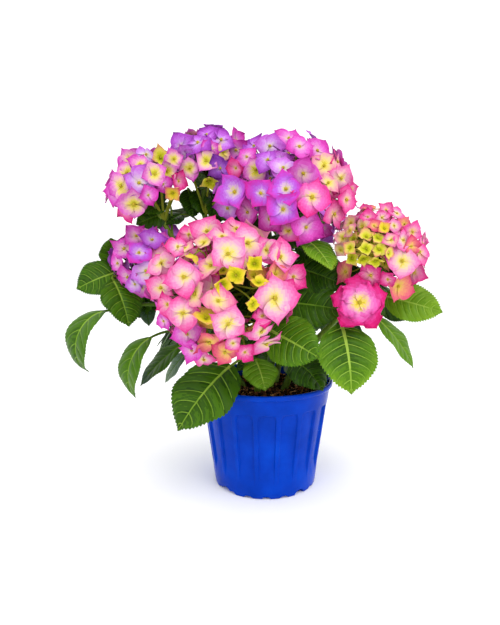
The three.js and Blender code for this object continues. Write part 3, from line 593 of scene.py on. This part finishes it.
# Places of the florets that show best: picture place, width in pixels, palette and how far its colour runs in.
SHOWN = {
    "head_front": [
        (184, 277, 37, "pink", 0.05), (228, 254, 37, "pink", -0.02), (275, 298, 43, "pink", 0.03), (228, 324, 34, "pink", -0.05), (183, 313, 37, "pink", 0.10),
        (206, 319, 24, "yellow", -0.04), (195, 294, 28, "cream", 0.05), (218, 301, 27, "cream", 0.12), (211, 266, 27, "cream", 0.10), (236, 275, 22, "yellow", -0.1), (222, 283, 20, "yellow", -0.12),
        (254, 264, 19, "yellow", -0.14), (259, 283, 18, "yellow", -0.1), (253, 304, 15, "yellow", -0.16), (275, 274, 24, "salmon", 0.0), (280, 257, 33, "pink", 0.02), (248, 243, 36, "pink", 0.02),
        (204, 243, 18, "cream", -0.1), (194, 255, 16, "yellow", 0.0), (178, 247, 21, "pink", 0.1), (190, 237, 22, "rose", 0.06), (185, 248, 18, "cream", 0.05), (207, 231, 30, "pink", 0.12), (236, 229, 31, "rose", 0.0), (222, 237, 26, "pink", 0.08),
        (293, 277, 25, "rose", 0.12), (261, 331, 30, "pink", 0.05), (187, 334, 29, "orchid", 0.0), (209, 342, 30, "salmon", 0.04), (233, 343, 16, "pink", 0.1), (158, 262, 27, "pink", 0.02),
        (161, 288, 26, "pink", 0.08), (164, 321, 19, "orchid", 0.04), (225, 352, 28, "salmon", 0.1), (205, 356, 24, "pink", 0.12), (168, 304, 24, "rose", 0.05), (266, 250, 24, "pink", 0.05),
        (240, 262, 20, "cream", 0.0), (288, 290, 22, "rose", 0.1), (192, 350, 22, "orchid", 0.02), (262, 316, 20, "rose", 0.1), (245, 352, 18, "rose", 0.1),
    ],
    "head_left": [
        (152, 240, 22, "purple", 0.0), (170, 233, 23, "purple", 0.1), (136, 236, 22, "orchid", 0.02), (139, 253, 24, "star", 0.0), (146, 271, 27, "lilac", -0.08), (124, 249, 24, "orchid", -0.06),
        (128, 277, 22, "orchid", 0.04), (142, 287, 22, "orchid", -0.06), (118, 263, 21, "orchid", 0.0), (160, 256, 24, "pink", 0.12), (159, 243, 18, "pearl", 0.05), (149, 231, 20, "orchid", 0.06), (135, 284, 18, "lilac", 0.05),
    ],
    "head_top_left": [
        (146, 155, 21, "lilac", -0.1), (160, 158, 19, "lime", 0.1), (139, 183, 29, "lilac", -0.02), (155, 174, 22, "pearl", 0.0), (167, 171, 19, "pearl", -0.08), (127, 173, 23, "pearl", 0.05), (173, 193, 19, "yellow", 0.12),
        (134, 204, 30, "pearl", 0.0), (178, 181, 19, "rose", 0.1), (121, 186, 24, "pearl", 0.05), (115, 192, 22, "orchid", 0.08), (174, 159, 17, "pearl", 0.0), (148, 195, 18, "orchid", 0.1), (131, 160, 22, "pearl", 0.1),
        (126, 212, 18, "rose", 0.1), (140, 165, 20, "pearl", 0.12), (163, 184, 18, "orchid", 0.1),
    ],
    "head_top_middle": [
        (198, 143, 27, "purple", 0.05), (181, 146, 24, "purple", 0.0), (221, 140, 27, "purple", 0.0), (237, 139, 20, "orchid", 0.1), (220, 168, 22, "violet", 0.05), (206, 161, 19, "pearl", 0.0), (190, 168, 20, "pearl", 0.02),
        (209, 181, 15, "lime", 0.0), (223, 152, 18, "cream", -0.05), (188, 156, 20, "lilac", 0.05), (209, 150, 20, "pearl", 0.12), (236, 150, 24, "orchid", 0.05), (222, 186, 20, "purple", 0.1), (207, 135, 22, "purple", 0.1),
    ],
    "head_top_right": [
        (235, 192, 34, "star", 0.0), (261, 193, 32, "star", 0.06), (283, 209, 34, "star", 0.03), (286, 189, 30, "star", 0.0), (256, 170, 23, "pearl", 0.02), (268, 160, 24, "purple", 0.0), (270, 146, 26, "lilac", 0.04),
        (312, 197, 38, "magenta", 0.02), (306, 227, 33, "orchid", 0.12), (299, 147, 29, "orchid", 0.04), (289, 137, 24, "orchid", 0.08), (324, 166, 24, "cream", 0.0), (341, 178, 26, "pink", 0.05), (346, 200, 27, "rose", 0.0),
        (328, 183, 22, "cream", 0.05), (317, 151, 26, "orchid", 0.06), (334, 214, 28, "rose", 0.0), (322, 228, 22, "orchid", 0.15), (236, 168, 18, "rose", 0.1), (228, 208, 26, "lilac", 0.08), (248, 212, 26, "orchid", 0.08),
        (270, 219, 30, "orchid", 0.1), (289, 231, 24, "magenta", 0.0), (283, 168, 26, "lilac", 0.0), (247, 157, 22, "orchid", 0.1), (303, 173, 28, "orchid", 0.0), (256, 149, 22, "purple", 0.08),
        (337, 162, 22, "rose", 0.0), (350, 190, 20, "rose", 0.0),
    ],
    "head_right": [
        (351, 223, 15, "cream", 0.05), (363, 204, 15, "rose", 0.0), (372, 210, 18, "salmon", -0.06), (386, 209, 15, "rose", 0.05), (397, 213, 16, "pink", 0.05), (382, 218, 16, "pink", 0.08), (368, 217, 14, "rose", 0.1),
        (404, 224, 16, "salmon", 0.05), (394, 226, 15, "pink", 0.05), (412, 232, 19, "rose", 0.0), (350, 231, 14, "cream", -0.05), (363, 227, 14, "cream", -0.05), (374, 226, 13, "salmon", 0.05), (384, 229, 14, "yellow", 0.05),
        (366, 237, 15, "lime", 0.2), (354, 239, 13, "lime", 0.14), (343, 238, 15, "cream", -0.06), (378, 239, 14, "lime", 0.05), (350, 248, 14, "lime", 0.22), (341, 250, 14, "cream", -0.04), (366, 249, 14, "lime", 0.0),
        (379, 250, 15, "lime", 0.15), (391, 240, 15, "cream", 0.1), (352, 258, 13, "lime", 0.0), (363, 259, 13, "lime", 0.0), (375, 260, 14, "lime", -0.03), (388, 253, 13, "lime", 0.22), (402, 261, 31, "pink", -0.04),
        (403, 240, 18, "pink", 0.02), (419, 252, 26, "rose", 0.0), (411, 246, 18, "salmon", 0.1), (414, 272, 24, "rose", 0.05), (398, 286, 24, "salmon", -0.08), (346, 272, 23, "salmon", 0.05), (371, 275, 24, "rose", 0.05),
        (388, 279, 18, "rose", 0.1),
    ],
}
# for the florets that fill in: palette and weight, width in millimetres, spacing
FILL = {
    "head_front": ([("pink", 5), ("rose", 2), ("cream", 2), ("orchid", 1), ("yellow", 1)], (30, 40), 27),
    "head_left": ([("purple", 2), ("lilac", 3), ("orchid", 4), ("star", 1)], (22, 28), 19.5),
    "head_top_left": ([("lilac", 3), ("orchid", 3), ("pearl", 4)], (23, 30), 21),
    "head_top_middle": ([("purple", 4), ("violet", 1), ("lilac", 3), ("pearl", 2)], (24, 31), 21.5),
    "head_top_right": ([("orchid", 5), ("lilac", 3), ("purple", 1), ("rose", 2)], (30, 38), 25.5),
    "head_right": ([("rose", 3), ("pink", 4), ("salmon", 1), ("cream", 2)], (17, 25), 17.5),
    "head_back_left": ([("pink", 4), ("orchid", 3), ("cream", 2)], (30, 37), 25),
    "head_back_right": ([("lilac", 3), ("purple", 3), ("orchid", 2)], (28, 35), 24),
    "head_back": ([("pink", 4), ("rose", 3), ("salmon", 1)], (29, 36), 24.5),
}
EYE_IN = 0.90  # florets sit about this far out on the dome
# picture places and widths where a head stands open and its stalks show
OPEN = {"head_front": [(239, 303, 13), (246, 292, 9), (285, 328, 4)], "head_right": [(392, 273, 7)], "head_top_left": [(158, 196, 7)]}
# where the youngest florets are, still green or yellow: picture place, reach and palette
YOUNG = {"head_front": (238, 276, 17, "yellow"), "head_right": (366, 247, 25, "lime")}


def place_florets(name):
    at0, axis, r, h, stem = HEADS[name]
    at0 = np.array(at0, float)
    u, v, w = square(axis)
    basis = np.stack([u, v, w])
    size = np.array([r, r, h], float)
    found = []  # centre, facing, width, palette, bias, shown

    def out_of(local):
        """The dome's outward direction at a place on it."""
        return unit((local / size) @ basis)

    for px, py, wide, pal, bias in SHOWN.get(name, []):
        d = sight(px, py)
        o = basis @ (CAMERA - at0) / size
        dd = basis @ d / size
        star = wide > 29 and (pal == "star" or wide > 32)  # the largest ones lie on top and face outward evenly
        a, b, c = dd @ dd, o @ dd, o @ o - (EYE_IN + (rng.uniform(0.06, 0.10) if star else rng.uniform(-0.07, 0.06))) ** 2
        disc = b * b - a * c
        k = (-b - math.sqrt(disc)) / a if disc > 0 else -b / a
        p = o + dd * k
        if disc <= 0:
            p = p / np.linalg.norm(p) * (EYE_IN + 0.02)
        local = p * size
        centre = at0 + local @ basis
        side = 1 - np.clip(out_of(local) @ unit(CAMERA - centre), 0, 1)
        n = unit(out_of(local) * 0.62 + unit(CAMERA - centre) * ((0.5 if star else 0.34) + 0.34 * side) + rng.normal(0, 0.09 if star else 0.36 if pal in ("lime", "yellow") else 0.23, 3))
        found.append((centre, n, (1.1 - 0.012 * np.clip(wide - 26, 0, 8)) * wide / scale_at(centre), pal, bias, True))
    weights, (low, high), spacing = FILL[name]
    pals, ws = [x for x, _ in weights], np.array([y for _, y in weights], float)
    area = 2 * math.pi * r * (r * 0.35 + h * 0.65) * 1.28
    golden = math.pi * (3 - math.sqrt(5))
    # an outer layer between the florets above, then a looser one under it that closes the gaps
    for layer, (share, deep0, deep1, apart) in enumerate([(1.8, 0.82, 0.92, 0.72), (1.2, 0.56, 0.70, 0.66)]):
        count = int(area / spacing**2 * share)
        for i in range(count):
            f = math.acos(1 - (1 - math.cos(math.radians(112 if layer == 0 else 92))) * (i + 0.5) / count)
            a = i * golden + rng.uniform(-0.2, 0.2) + layer
            deep = rng.uniform(deep0, deep1)
            z = math.cos(f) * (1 if f < math.pi / 2 else 0.85)
            local = np.array([math.sin(f) * math.cos(a), math.sin(f) * math.sin(a), z]) * size * deep
            centre = at0 + local @ basis
            wide = rng.uniform(low, high) * (1.0 if layer == 0 else 0.92)
            near = min((np.linalg.norm(centre - c) / (0.5 * (wide + q)) for c, _, q, _, _, s in found if (s is None) == (layer == 1)), default=9)
            seen = out_of(local) @ unit(CAMERA - centre)
            if near < apart + (0.10 if layer == 0 and seen > 0.2 and name in SHOWN else 0):
                continue
            away = centre - CAMERA
            px = WIDE / 2 + FOCAL * (away @ RIGHT) / (away @ LOOK)
            py = TALL / 2 - FOCAL * (away @ RISE) / (away @ LOOK)
            if seen > -0.2 and any(math.hypot(px - ox, py - oy) < ow + 0.2 * wide for ox, oy, ow in OPEN.get(name, [])):
                continue
            n = unit(out_of(local) + rng.normal(0, 0.30, 3))
            pal = str(rng.choice(pals, p=ws / ws.sum()))
            if seen > 0 and name in YOUNG and math.hypot(px - YOUNG[name][0], py - YOUNG[name][1]) < YOUNG[name][2]:
                pal = YOUNG[name][3]
            found.append((centre, n, wide, pal, rng.uniform(-0.02, 0.16) + 0.06 * layer, None if layer else False))
    return found


heads = {}
twigs = Skin()
for name, (at0, axis, r, h, stem) in HEADS.items():
    rng = np.random.default_rng(sum(map(ord, name)))
    skin = heads[name] = Skin()
    found = place_florets(name)
    top = bezier(STEMS[stem], np.array(1.0))
    low_dir = unit(bezier(STEMS[stem], np.array(1.0)) - bezier(STEMS[stem], np.array(0.93)))
    centres = np.array([c for c, *_ in found])
    # branch the stem's end into a few arms, and each arm into the floret stalks nearest to it
    arms = 9 if r > 70 else 6
    seeds = centres[np.linspace(0, len(centres) - 1, arms).astype(int)]
    for _ in range(6):
        who = np.argmin(np.linalg.norm(centres[:, None] - seeds[None], axis=2), axis=1)
        seeds = np.array([centres[who == k].mean(0) if (who == k).any() else seeds[k] for k in range(arms)])
    fork = top + low_dir * (h * 0.10)
    twigs.tube(np.array([top - low_dir * 3, top, fork]), [2.9, 2.7, 2.2], 8, twigs.tone(STALK[2]))
    nodes = [fork + (s - fork) * 0.52 for s in seeds]
    for k in range(arms):
        stalk(twigs, [fork, fork + low_dir * h * 0.15 + (nodes[k] - fork) * 0.2, nodes[k] - (seeds[k] - fork) * 0.1, nodes[k]], 1.9, 1.25, twigs.tone(PEDICEL[0]), sides=6, steps=7)
    for (centre, n, wide, pal, bias, shown), k in zip(found, who):
        node = nodes[k]
        reach = np.linalg.norm(centre - node)
        stalk(twigs, [node, node + (centre - node) * 0.3 + low_dir * reach * 0.06, centre - n * reach * 0.35, centre - n * 0.3], 1.05, 0.75, twigs.tone(PEDICEL[1 if shown else 0]), sides=5, steps=6)
        floret(skin, centre, n, wide, pal, rng, bias, detail=0.5 if shown is None else 2 if shown and wide > 31 else 1)

# bare stalks that show under the two upper left heads: stem, how far up it, and picture places they run to
for stem, up, ends in [("stem_top_left", 0.88, [(150, 192), (161, 184), (173, 192), (181, 180)]), ("stem_top_middle", 0.80, [(194, 180), (209, 183), (217, 200)])]:
    root = bezier(STEMS[stem], np.array(up))
    for px, py in ends:
        d = sight(px, py)
        end = CAMERA + d * ((root[1] - 16 - CAMERA[1]) / d[1])
        stalk(twigs, [root, root + [0, -2, 9] + (end - root) * 0.15, end - (end - root) * 0.35 - [0, 3, 0], end], 2.0, 1.25, twigs.tone(PEDICEL[1]), sides=7, steps=9)

# the one very large floret that hangs out on its own stalk at the front right
rng = np.random.default_rng(5)
big = Skin()
centre = np.array([96.5, -71.0, 224.5])
n = unit([-0.12, -0.93, 0.35])
for k in range(5):
    a = 1.60 + k / 5 * 2 * math.pi
    u, v, _ = square(n)
    d = u * math.cos(a) + v * math.sin(a)
    sepal(big, centre - n * 1.2, n, d, 32 * (1.0 if k else 1.06), 28.5, "magenta", 0.10 + 0.04 * (k % 2), rng, 16, 10, lift=0.10, curl=-0.20, twist=0.16, rise=-0.6 * (k % 2), point=0.72, ruffle=0.12)
for k in range(5):
    a = 2.35 + k / 5 * 2 * math.pi
    d = u * math.cos(a) + v * math.sin(a)
    sepal(big, centre + n * 0.6, n, d, 22.5, 20.5, "magenta", -0.14, rng, 14, 8, lift=0.20, curl=-0.20, twist=0.12, rise=0.5 * (k % 2), point=0.62, ruffle=0.08)
hh = np.array([-0.4, 0.8, 2.2, 3.0])
big.tube(centre + n * hh[:, None], [2.2, 2.7, 2.1, 0.8], 10, [big.tone(BEAD[1]), big.tone(BEAD[2]), big.tone(BEAD[1])])
root = bezier(STEMS["stem_right"], np.array(0.93))
stalk(twigs, [root, root + (centre - root) * 0.3 + np.array([0, 0, -4.0]), centre - n * 16, centre - n * 1.5], 1.7, 1.1, twigs.tone(PEDICEL[1]), sides=7, steps=12)

# ---------------------------------------------------------------- stems
def stem_skin(skin, name, k):
    t = np.linspace(0, 1, 46)
    pts = bezier(STEMS[name], t)
    r = STEM_FOOT + (STEM_TIP - STEM_FOOT) * t
    places = [up for st, up, *_ in LEAVES.values() if st == name] + [0.18, 0.4]
    for up in places:  # nodes swell where leaves join
        r = r * (1 + 0.16 * np.exp(-(((t - up) / 0.018) ** 2)))
    r = r * (1 + 0.02 * np.sin(37 * t + k))
    skin.tube(pts, r, 16, 0, ridges=6, depth=0.035, turn=k)


stems = Skin()
stems.tone("stems")
for k, name in enumerate(STEMS):
    stem_skin(stems, name, k)


# ---------------------------------------------------------------- the pot
def step(x, a, b):
    x = np.clip((x - a) / (b - a), 0, 1)
    return x * x * (3 - 2 * x)


def pot_skin():
    H, rim, drop, top, foot, wall, floor_z = 125, 80, 5.5, 77, 60.3, 2.6, 3.0
    wall_at = lambda z: foot + (top - foot) * z / (H - drop)
    mids = np.array([-10, -9.2, -8.5, -8.05, -7.75, -7.5, -7.2, -6.2, -5, -3.6, -2.7, -2.2, -1.6, -0.8, 0, 0.8, 1.6, 2.2, 2.7, 3.6, 5, 6.2, 7.2, 7.5, 7.75, 8.05, 8.5, 9.2])
    deg = np.concatenate([mids + 10 + 20 * i for i in range(18)])
    ang = np.radians(deg)
    off = (deg % 20) - 10
    # the lower edge rises over the small arch under each flute, and over four larger drainage arches
    arch = np.zeros_like(ang)
    x = np.radians(off) * foot
    arch = np.maximum(arch, 2.5 * np.sqrt(np.clip(1 - (x / 4.8) ** 2, 0, None)))
    for i in range(4):
        x = ((deg - (-50 + 90 * i) + 180) % 360 - 180) * math.pi / 180 * foot
        arch = np.maximum(arch, 5.4 * np.sqrt(np.clip(1 - (x / 7.4) ** 2, 0, None)))
    rows = []
    ring = lambda r, z: np.stack([r * np.cos(ang), r * np.sin(ang), z * np.ones_like(ang)], -1)
    rows.append(ring(10.0 * np.ones_like(ang), 0.0))
    rows.append(ring(40.0 * np.ones_like(ang), 0.0))
    rows.append(ring(53.8 * np.ones_like(ang), 0.0))
    rows.append(ring(54.3 * np.ones_like(ang), 0.03))
    rows.append(ring(54.5 * np.ones_like(ang), arch))
    rows.append(ring(foot - 1.3 + 0 * ang, arch))
    rows.append(ring(foot - 0.5 + 0 * ang, arch + 0.25))
    for z in [0.9, 2.2, 4, 6.5, 9, 12, 16, 20, 24, 27, 30, 34, 40, 48, 56, 64, 72, 80, 86, 90, 94, 96.5, 98.2, 99.2, 100, 100.6, 101.2, 101.9, 103, 106, 110, 114, 117, 118.4]:
        zz = arch + (z - 0) * (1 - arch / 118.4) if z < 9 else z
        zz = np.maximum(z, arch + 0.25 + 0.35 * z) if z < 9 else z * np.ones_like(ang)
        # the flute: flat bottomed, square shouldered, with rounded upper corners, running out below
        a = np.abs(off)
        corner = np.clip((zz - 93.5) / 7.5, 0, 1)
        half = 7.75 - 1.15 * (1 - np.sqrt(np.clip(1 - corner**2, 0, 1))) * 1.6
        depth = 2.5 * step(half - a, -0.22, 0.26) * step(101.4 - zz, -0.5, 0.7) * (0.12 + 0.88 * step(zz, 20, 36)) * step(zz, 17, 22)
        rows.append(ring(wall_at(zz) - depth, zz))
    # the rolled rim
    for r, z in [(77.0, 119.0), (78.2, 119.25), (79.3, 119.7), (79.85, 120.5), (80.0, 121.5), (80.0, 122.8), (79.85, 123.8), (79.4, 124.5), (78.6, 124.95), (77.5, 125.0), (76.6, 124.85), (76.0, 124.3), (75.4, 123.0), (75.0, 121), (74.6, 118.5)]:
        rows.append(ring(r + 0 * ang, z))
    for z in [114, 108, 90, 60, 30, 8, 4]:
        rows.append(ring(wall_at(z) - wall + 0 * ang, z))
    rows.append(ring(wall_at(floor_z) - wall - 1 + 0 * ang, floor_z))
    rows.append(ring(10.0 + 0 * ang, floor_z))
    P = np.stack(rows)
    n, m, _ = P.shape
    idx = np.arange(n * m).reshape(n, m)
    nxt = np.roll(idx, -1, axis=1)
    walls = np.stack([idx[:-1], nxt[:-1], nxt[1:], idx[1:]], -1).reshape(-1, 4)
    none = np.full(m, -1)
    caps = np.concatenate([np.stack([np.full(m, n * m), nxt[0], idx[0], none], -1), np.stack([np.full(m, n * m + 1), idx[-1], nxt[-1], none], -1)])
    skin = Skin()
    skin.tone("pot")
    skin.put(np.concatenate([P.reshape(-1, 3), [[0, 0, 0], [0, 0, floor_z]]]), np.concatenate([walls, caps]), 0)
    return skin


# ---------------------------------------------------------------- the compost
def waves(rng, count, low, high):
    k = rng.uniform(low, high, count)
    a = rng.uniform(0, 2 * math.pi, count)
    ph = rng.uniform(0, 2 * math.pi, count)
    return lambda x, y: sum(np.sin(kk * (x * math.cos(aa) + y * math.sin(aa)) + pp) for kk, aa, pp in zip(k, a, ph)) / math.sqrt(count)


def compost_skins():
    rng = np.random.default_rng(11)
    big_w, small_w = waves(rng, 9, 0.08, 0.2), waves(rng, 16, 0.45, 1.1)
    level = lambda x, y: 110.4 + 2.4 * (1 - (x * x + y * y) / 72**2) + 1.3 * big_w(x, y) + 0.7 * small_w(x, y)
    radii = np.concatenate([np.linspace(1.5, 71, 44), [72.4]])
    ang = np.arange(132) / 132 * 2 * math.pi
    R, A = np.meshgrid(radii, ang, indexing="ij")
    X, Y = R * np.cos(A), R * np.sin(A)
    Z = level(X, Y)
    Z[-1] = 109.0
    top = np.stack([X, Y, Z], -1)[::-1]
    under = [np.stack([r * np.cos(ang), r * np.sin(ang), np.full_like(ang, z)], -1) for r, z in ((20.0, 100.0), (71.2, 100.0))]
    P = np.concatenate([np.stack(under), top])
    n, m, _ = P.shape
    idx = np.arange(n * m).reshape(n, m)
    nxt = np.roll(idx, -1, axis=1)
    walls = np.stack([idx[:-1], nxt[:-1], nxt[1:], idx[1:]], -1).reshape(-1, 4)
    none = np.full(m, -1)
    caps = np.concatenate([np.stack([np.full(m, n * m), nxt[0], idx[0], none], -1), np.stack([np.full(m, n * m + 1), idx[-1], nxt[-1], none], -1)])
    soil = Skin()
    soil.tone("compost")
    soil.put(np.concatenate([P.reshape(-1, 3), [[0, 0, 100], [0, 0, float(level(0, 0))]]]), np.concatenate([walls, caps]), 0)
    ramp("bark", [(36, 20, 10), (76, 44, 22), (124, 78, 42), (168, 112, 64), (206, 156, 104)], 5, 0.85)
    chips = Skin()
    cube = np.array([[x, y, z] for x in (-1, 1) for y in (-1, 1) for z in (-1, 1)], float)
    quads = np.array([[0, 1, 3, 2], [4, 6, 7, 5], [0, 4, 5, 1], [2, 3, 7, 6], [0, 2, 6, 4], [1, 5, 7, 3]])
    for i in range(1300):
        a, rr = rng.uniform(0, 2 * math.pi), 70 * math.sqrt(rng.uniform(0.0, 0.97))
        x, y = rr * math.cos(a), rr * math.sin(a)
        crumb = rng.uniform() < 0.5
        size = rng.uniform(0.7, 2.0, 3) if crumb else np.array([rng.uniform(2.2, 5.5), rng.uniform(1.2, 2.8), rng.uniform(0.6, 1.6)])
        size = size / (1 + 0.8 * (rr > 64))
        body = cube * size * rng.uniform(0.62, 1.0, (8, 3))
        yaw, tilt, roll = rng.uniform(0, 2 * math.pi), rng.normal(0, 0.45), rng.normal(0, 0.4)
        R = np.array(Matrix.Rotation(yaw, 3, "Z") @ Matrix.Rotation(tilt, 3, "Y") @ Matrix.Rotation(roll, 3, "X"))
        centre = np.array([x, y, float(level(x, y)) + 0.35 * size[2]])
        k = int(np.clip(rng.choice([0, 0, 1, 1, 2, 3, 4] if not crumb else [0, 0, 0, 1, 2]), 0, 4))
        chips.put(body @ R.T + centre, quads, chips.tone(f"bark_{k}"))
    return soil, chips


# ---------------------------------------------------------------- procedural finishes of the made and woody pieces
def finish_material(name):
    m = bpy.data.materials.new(name)
    m.use_nodes = True
    nt = m.node_tree
    return m, nt, nt.nodes["Principled BSDF"]


def noise(nt, scale, detail=4.0, rough=0.55, stretch=(1, 1, 1)):
    co = nt.nodes.new("ShaderNodeTexCoord")
    mp = nt.nodes.new("ShaderNodeMapping")
    mp.inputs["Scale"].default_value = stretch
    n = nt.nodes.new("ShaderNodeTexNoise")
    n.inputs["Scale"].default_value = scale
    n.inputs["Detail"].default_value = detail
    n.inputs["Roughness"].default_value = rough
    nt.links.new(co.outputs["Object"], mp.inputs["Vector"])
    nt.links.new(mp.outputs["Vector"], n.inputs["Vector"])
    return n.outputs["Fac"]


def colour_ramp(nt, fac, stops):
    r = nt.nodes.new("ShaderNodeValToRGB")
    while len(r.color_ramp.elements) < len(stops):
        r.color_ramp.elements.new(0.5)
    for e, (at, c) in zip(r.color_ramp.elements, stops):
        e.position, e.color = at, (*linear(c), 1)
    nt.links.new(fac, r.inputs["Fac"])
    return r.outputs["Color"]


def ranged(nt, fac, low, high):
    r = nt.nodes.new("ShaderNodeMapRange")
    r.inputs["From Min"].default_value, r.inputs["From Max"].default_value = 0.3, 0.7
    r.inputs["To Min"].default_value, r.inputs["To Max"].default_value = low, high
    nt.links.new(fac, r.inputs["Value"])
    return r.outputs["Result"]


def bump(nt, p, height, strength, distance):
    b = nt.nodes.new("ShaderNodeBump")
    b.inputs["Strength"].default_value, b.inputs["Distance"].default_value = strength, distance
    nt.links.new(height, b.inputs["Height"])
    nt.links.new(b.outputs["Normal"], p.inputs["Normal"])


pot_mat, nt, p = finish_material("pot_plastic")
nt.links.new(colour_ramp(nt, noise(nt, 26, 5), [(0.25, (0, 46, 148)), (0.5, (0, 55, 172)), (0.75, (0, 67, 190))]), p.inputs["Base Color"])
nt.links.new(ranged(nt, noise(nt, 55, 6, 0.7), 0.16, 0.28), p.inputs["Roughness"])
p.inputs["Specular IOR Level"].default_value = 0.06
bump(nt, p, noise(nt, 420, 3), 0.12, 0.0004)
soil_mat, nt, p = finish_material("compost_peat")
nt.links.new(colour_ramp(nt, noise(nt, 260, 8, 0.7), [(0.3, (18, 11, 8)), (0.5, (44, 28, 18)), (0.68, (86, 54, 32))]), p.inputs["Base Color"])
p.inputs["Roughness"].default_value = 0.92
p.inputs["Specular IOR Level"].default_value = 0.2
bump(nt, p, noise(nt, 500, 8, 0.75), 0.9, 0.0016)
stem_mat, nt, p = finish_material("stem_green")
nt.links.new(colour_ramp(nt, noise(nt, 90, 5, 0.6, (1, 1, 0.25)), [(0.3, (62, 86, 20)), (0.5, (90, 118, 28)), (0.7, (122, 146, 44))]), p.inputs["Base Color"])
p.inputs["Roughness"].default_value = 0.45
p.inputs["Specular IOR Level"].default_value = 0.2
bump(nt, p, noise(nt, 380, 5, 0.6, (1, 1, 0.2)), 0.35, 0.0008)

# ---------------------------------------------------------------- write the pieces
pot = pot_skin().write("pot_body", {"pot": pot_mat})
soil_skin, chip_skin = compost_skins()
soil = soil_skin.write("compost_surface", {"compost": soil_mat})
chips = chip_skin.write("compost_bark_chips")
stems_o = stems.write("main_stems", {"stems": stem_mat})
stalks_o = stalks.write("leaf_stalks_and_twigs")
twigs_o = twigs.write("flower_stalks")
near_o = near_leaves.write("single_leaves")
mass_o = {k: s.write(k + "_leaves") for k, s in mass_leaves.items()}
head_o = {k: s.write(k + "_florets") for k, s in heads.items()}
big_o = big.write("floret_front_right_sepals")

whole = [pot, soil, chips, stems_o, stalks_o, twigs_o, near_o, big_o, *mass_o.values(), *head_o.values()]
for o in whole:
    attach(o, "root")
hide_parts("pot")
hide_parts("compost")
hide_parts(*STEMS)
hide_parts(*LEAVES)
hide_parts("floret_front_right")
for k, o in head_o.items():
    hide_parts(k)
for k, o in mass_o.items():
    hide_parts(*[n for n in MASSES if ("foliage_front" if "back" not in n and n not in ("foliage_left", "foliage_right") else "foliage_" + ("back" if "back" in n else "sides")) == k])
print("triangles", {o.name: sum(len(f.vertices) - 2 for f in o.data.polygons) for o in whole})

# ---------------------------------------------------------------- floor, light and camera
floor_mesh = bpy.data.meshes.new("floor")
floor_mesh.from_pydata([(-30, -20, 0), (30, -20, 0), (30, 45, 0), (-30, 45, 0)], [], [(0, 1, 2, 3)])
floor = bpy.data.objects.new("floor", floor_mesh)
scene.collection.objects.link(floor)
m, nt, p = finish_material("floor_white")
p.inputs["Base Color"].default_value = (0.985, 0.985, 0.985, 1)
p.inputs["Roughness"].default_value = 0.9
p.inputs["Specular IOR Level"].default_value = 0.1
floor.data.materials.append(m)

world = bpy.data.worlds.new("studio")
scene.world = world
world.use_nodes = True
world.node_tree.nodes["Background"].inputs["Color"].default_value = (1, 1, 1, 1)
world.node_tree.nodes["Background"].inputs["Strength"].default_value = 1.28


def area(name, place, aim, size, power, colour=(1, 1, 1)):
    light = bpy.data.lights.new(name, "AREA")
    light.shape, light.size, light.energy, light.color = "DISK", size, power, colour
    o = bpy.data.objects.new(name, light)
    scene.collection.objects.link(o)
    o.location = place
    o.rotation_mode = "QUATERNION"
    o.rotation_quaternion = (Vector(aim) - Vector(place)).to_track_quat("-Z", "Y")
    return o


area("key", (0.6, -1.1, 1.5), (0, 0, 0.2), 1.3, 12)
area("fill", (-1.1, -1.0, 0.9), (0, 0, 0.2), 0.9, 1.5)
area("back", (-0.4, 1.2, 1.2), (0, 0, 0.25), 0.9, 3)

cam = bpy.data.cameras.new("camera")
cam.sensor_width, cam.lens = 36.0, FOCAL / TALL * 36.0
cam_o = bpy.data.objects.new("camera", cam)
scene.collection.objects.link(cam_o)
cam_o.location = Vector(CAMERA * 0.001)
cam_o.rotation_mode = "QUATERNION"
cam_o.rotation_quaternion = Vector(LOOK).to_track_quat("-Z", "Y")
cam.clip_start, cam.clip_end = 0.02, 100
scene.camera = cam_o
scene.view_settings.view_transform = "Standard"
scene.view_settings.look = "None"
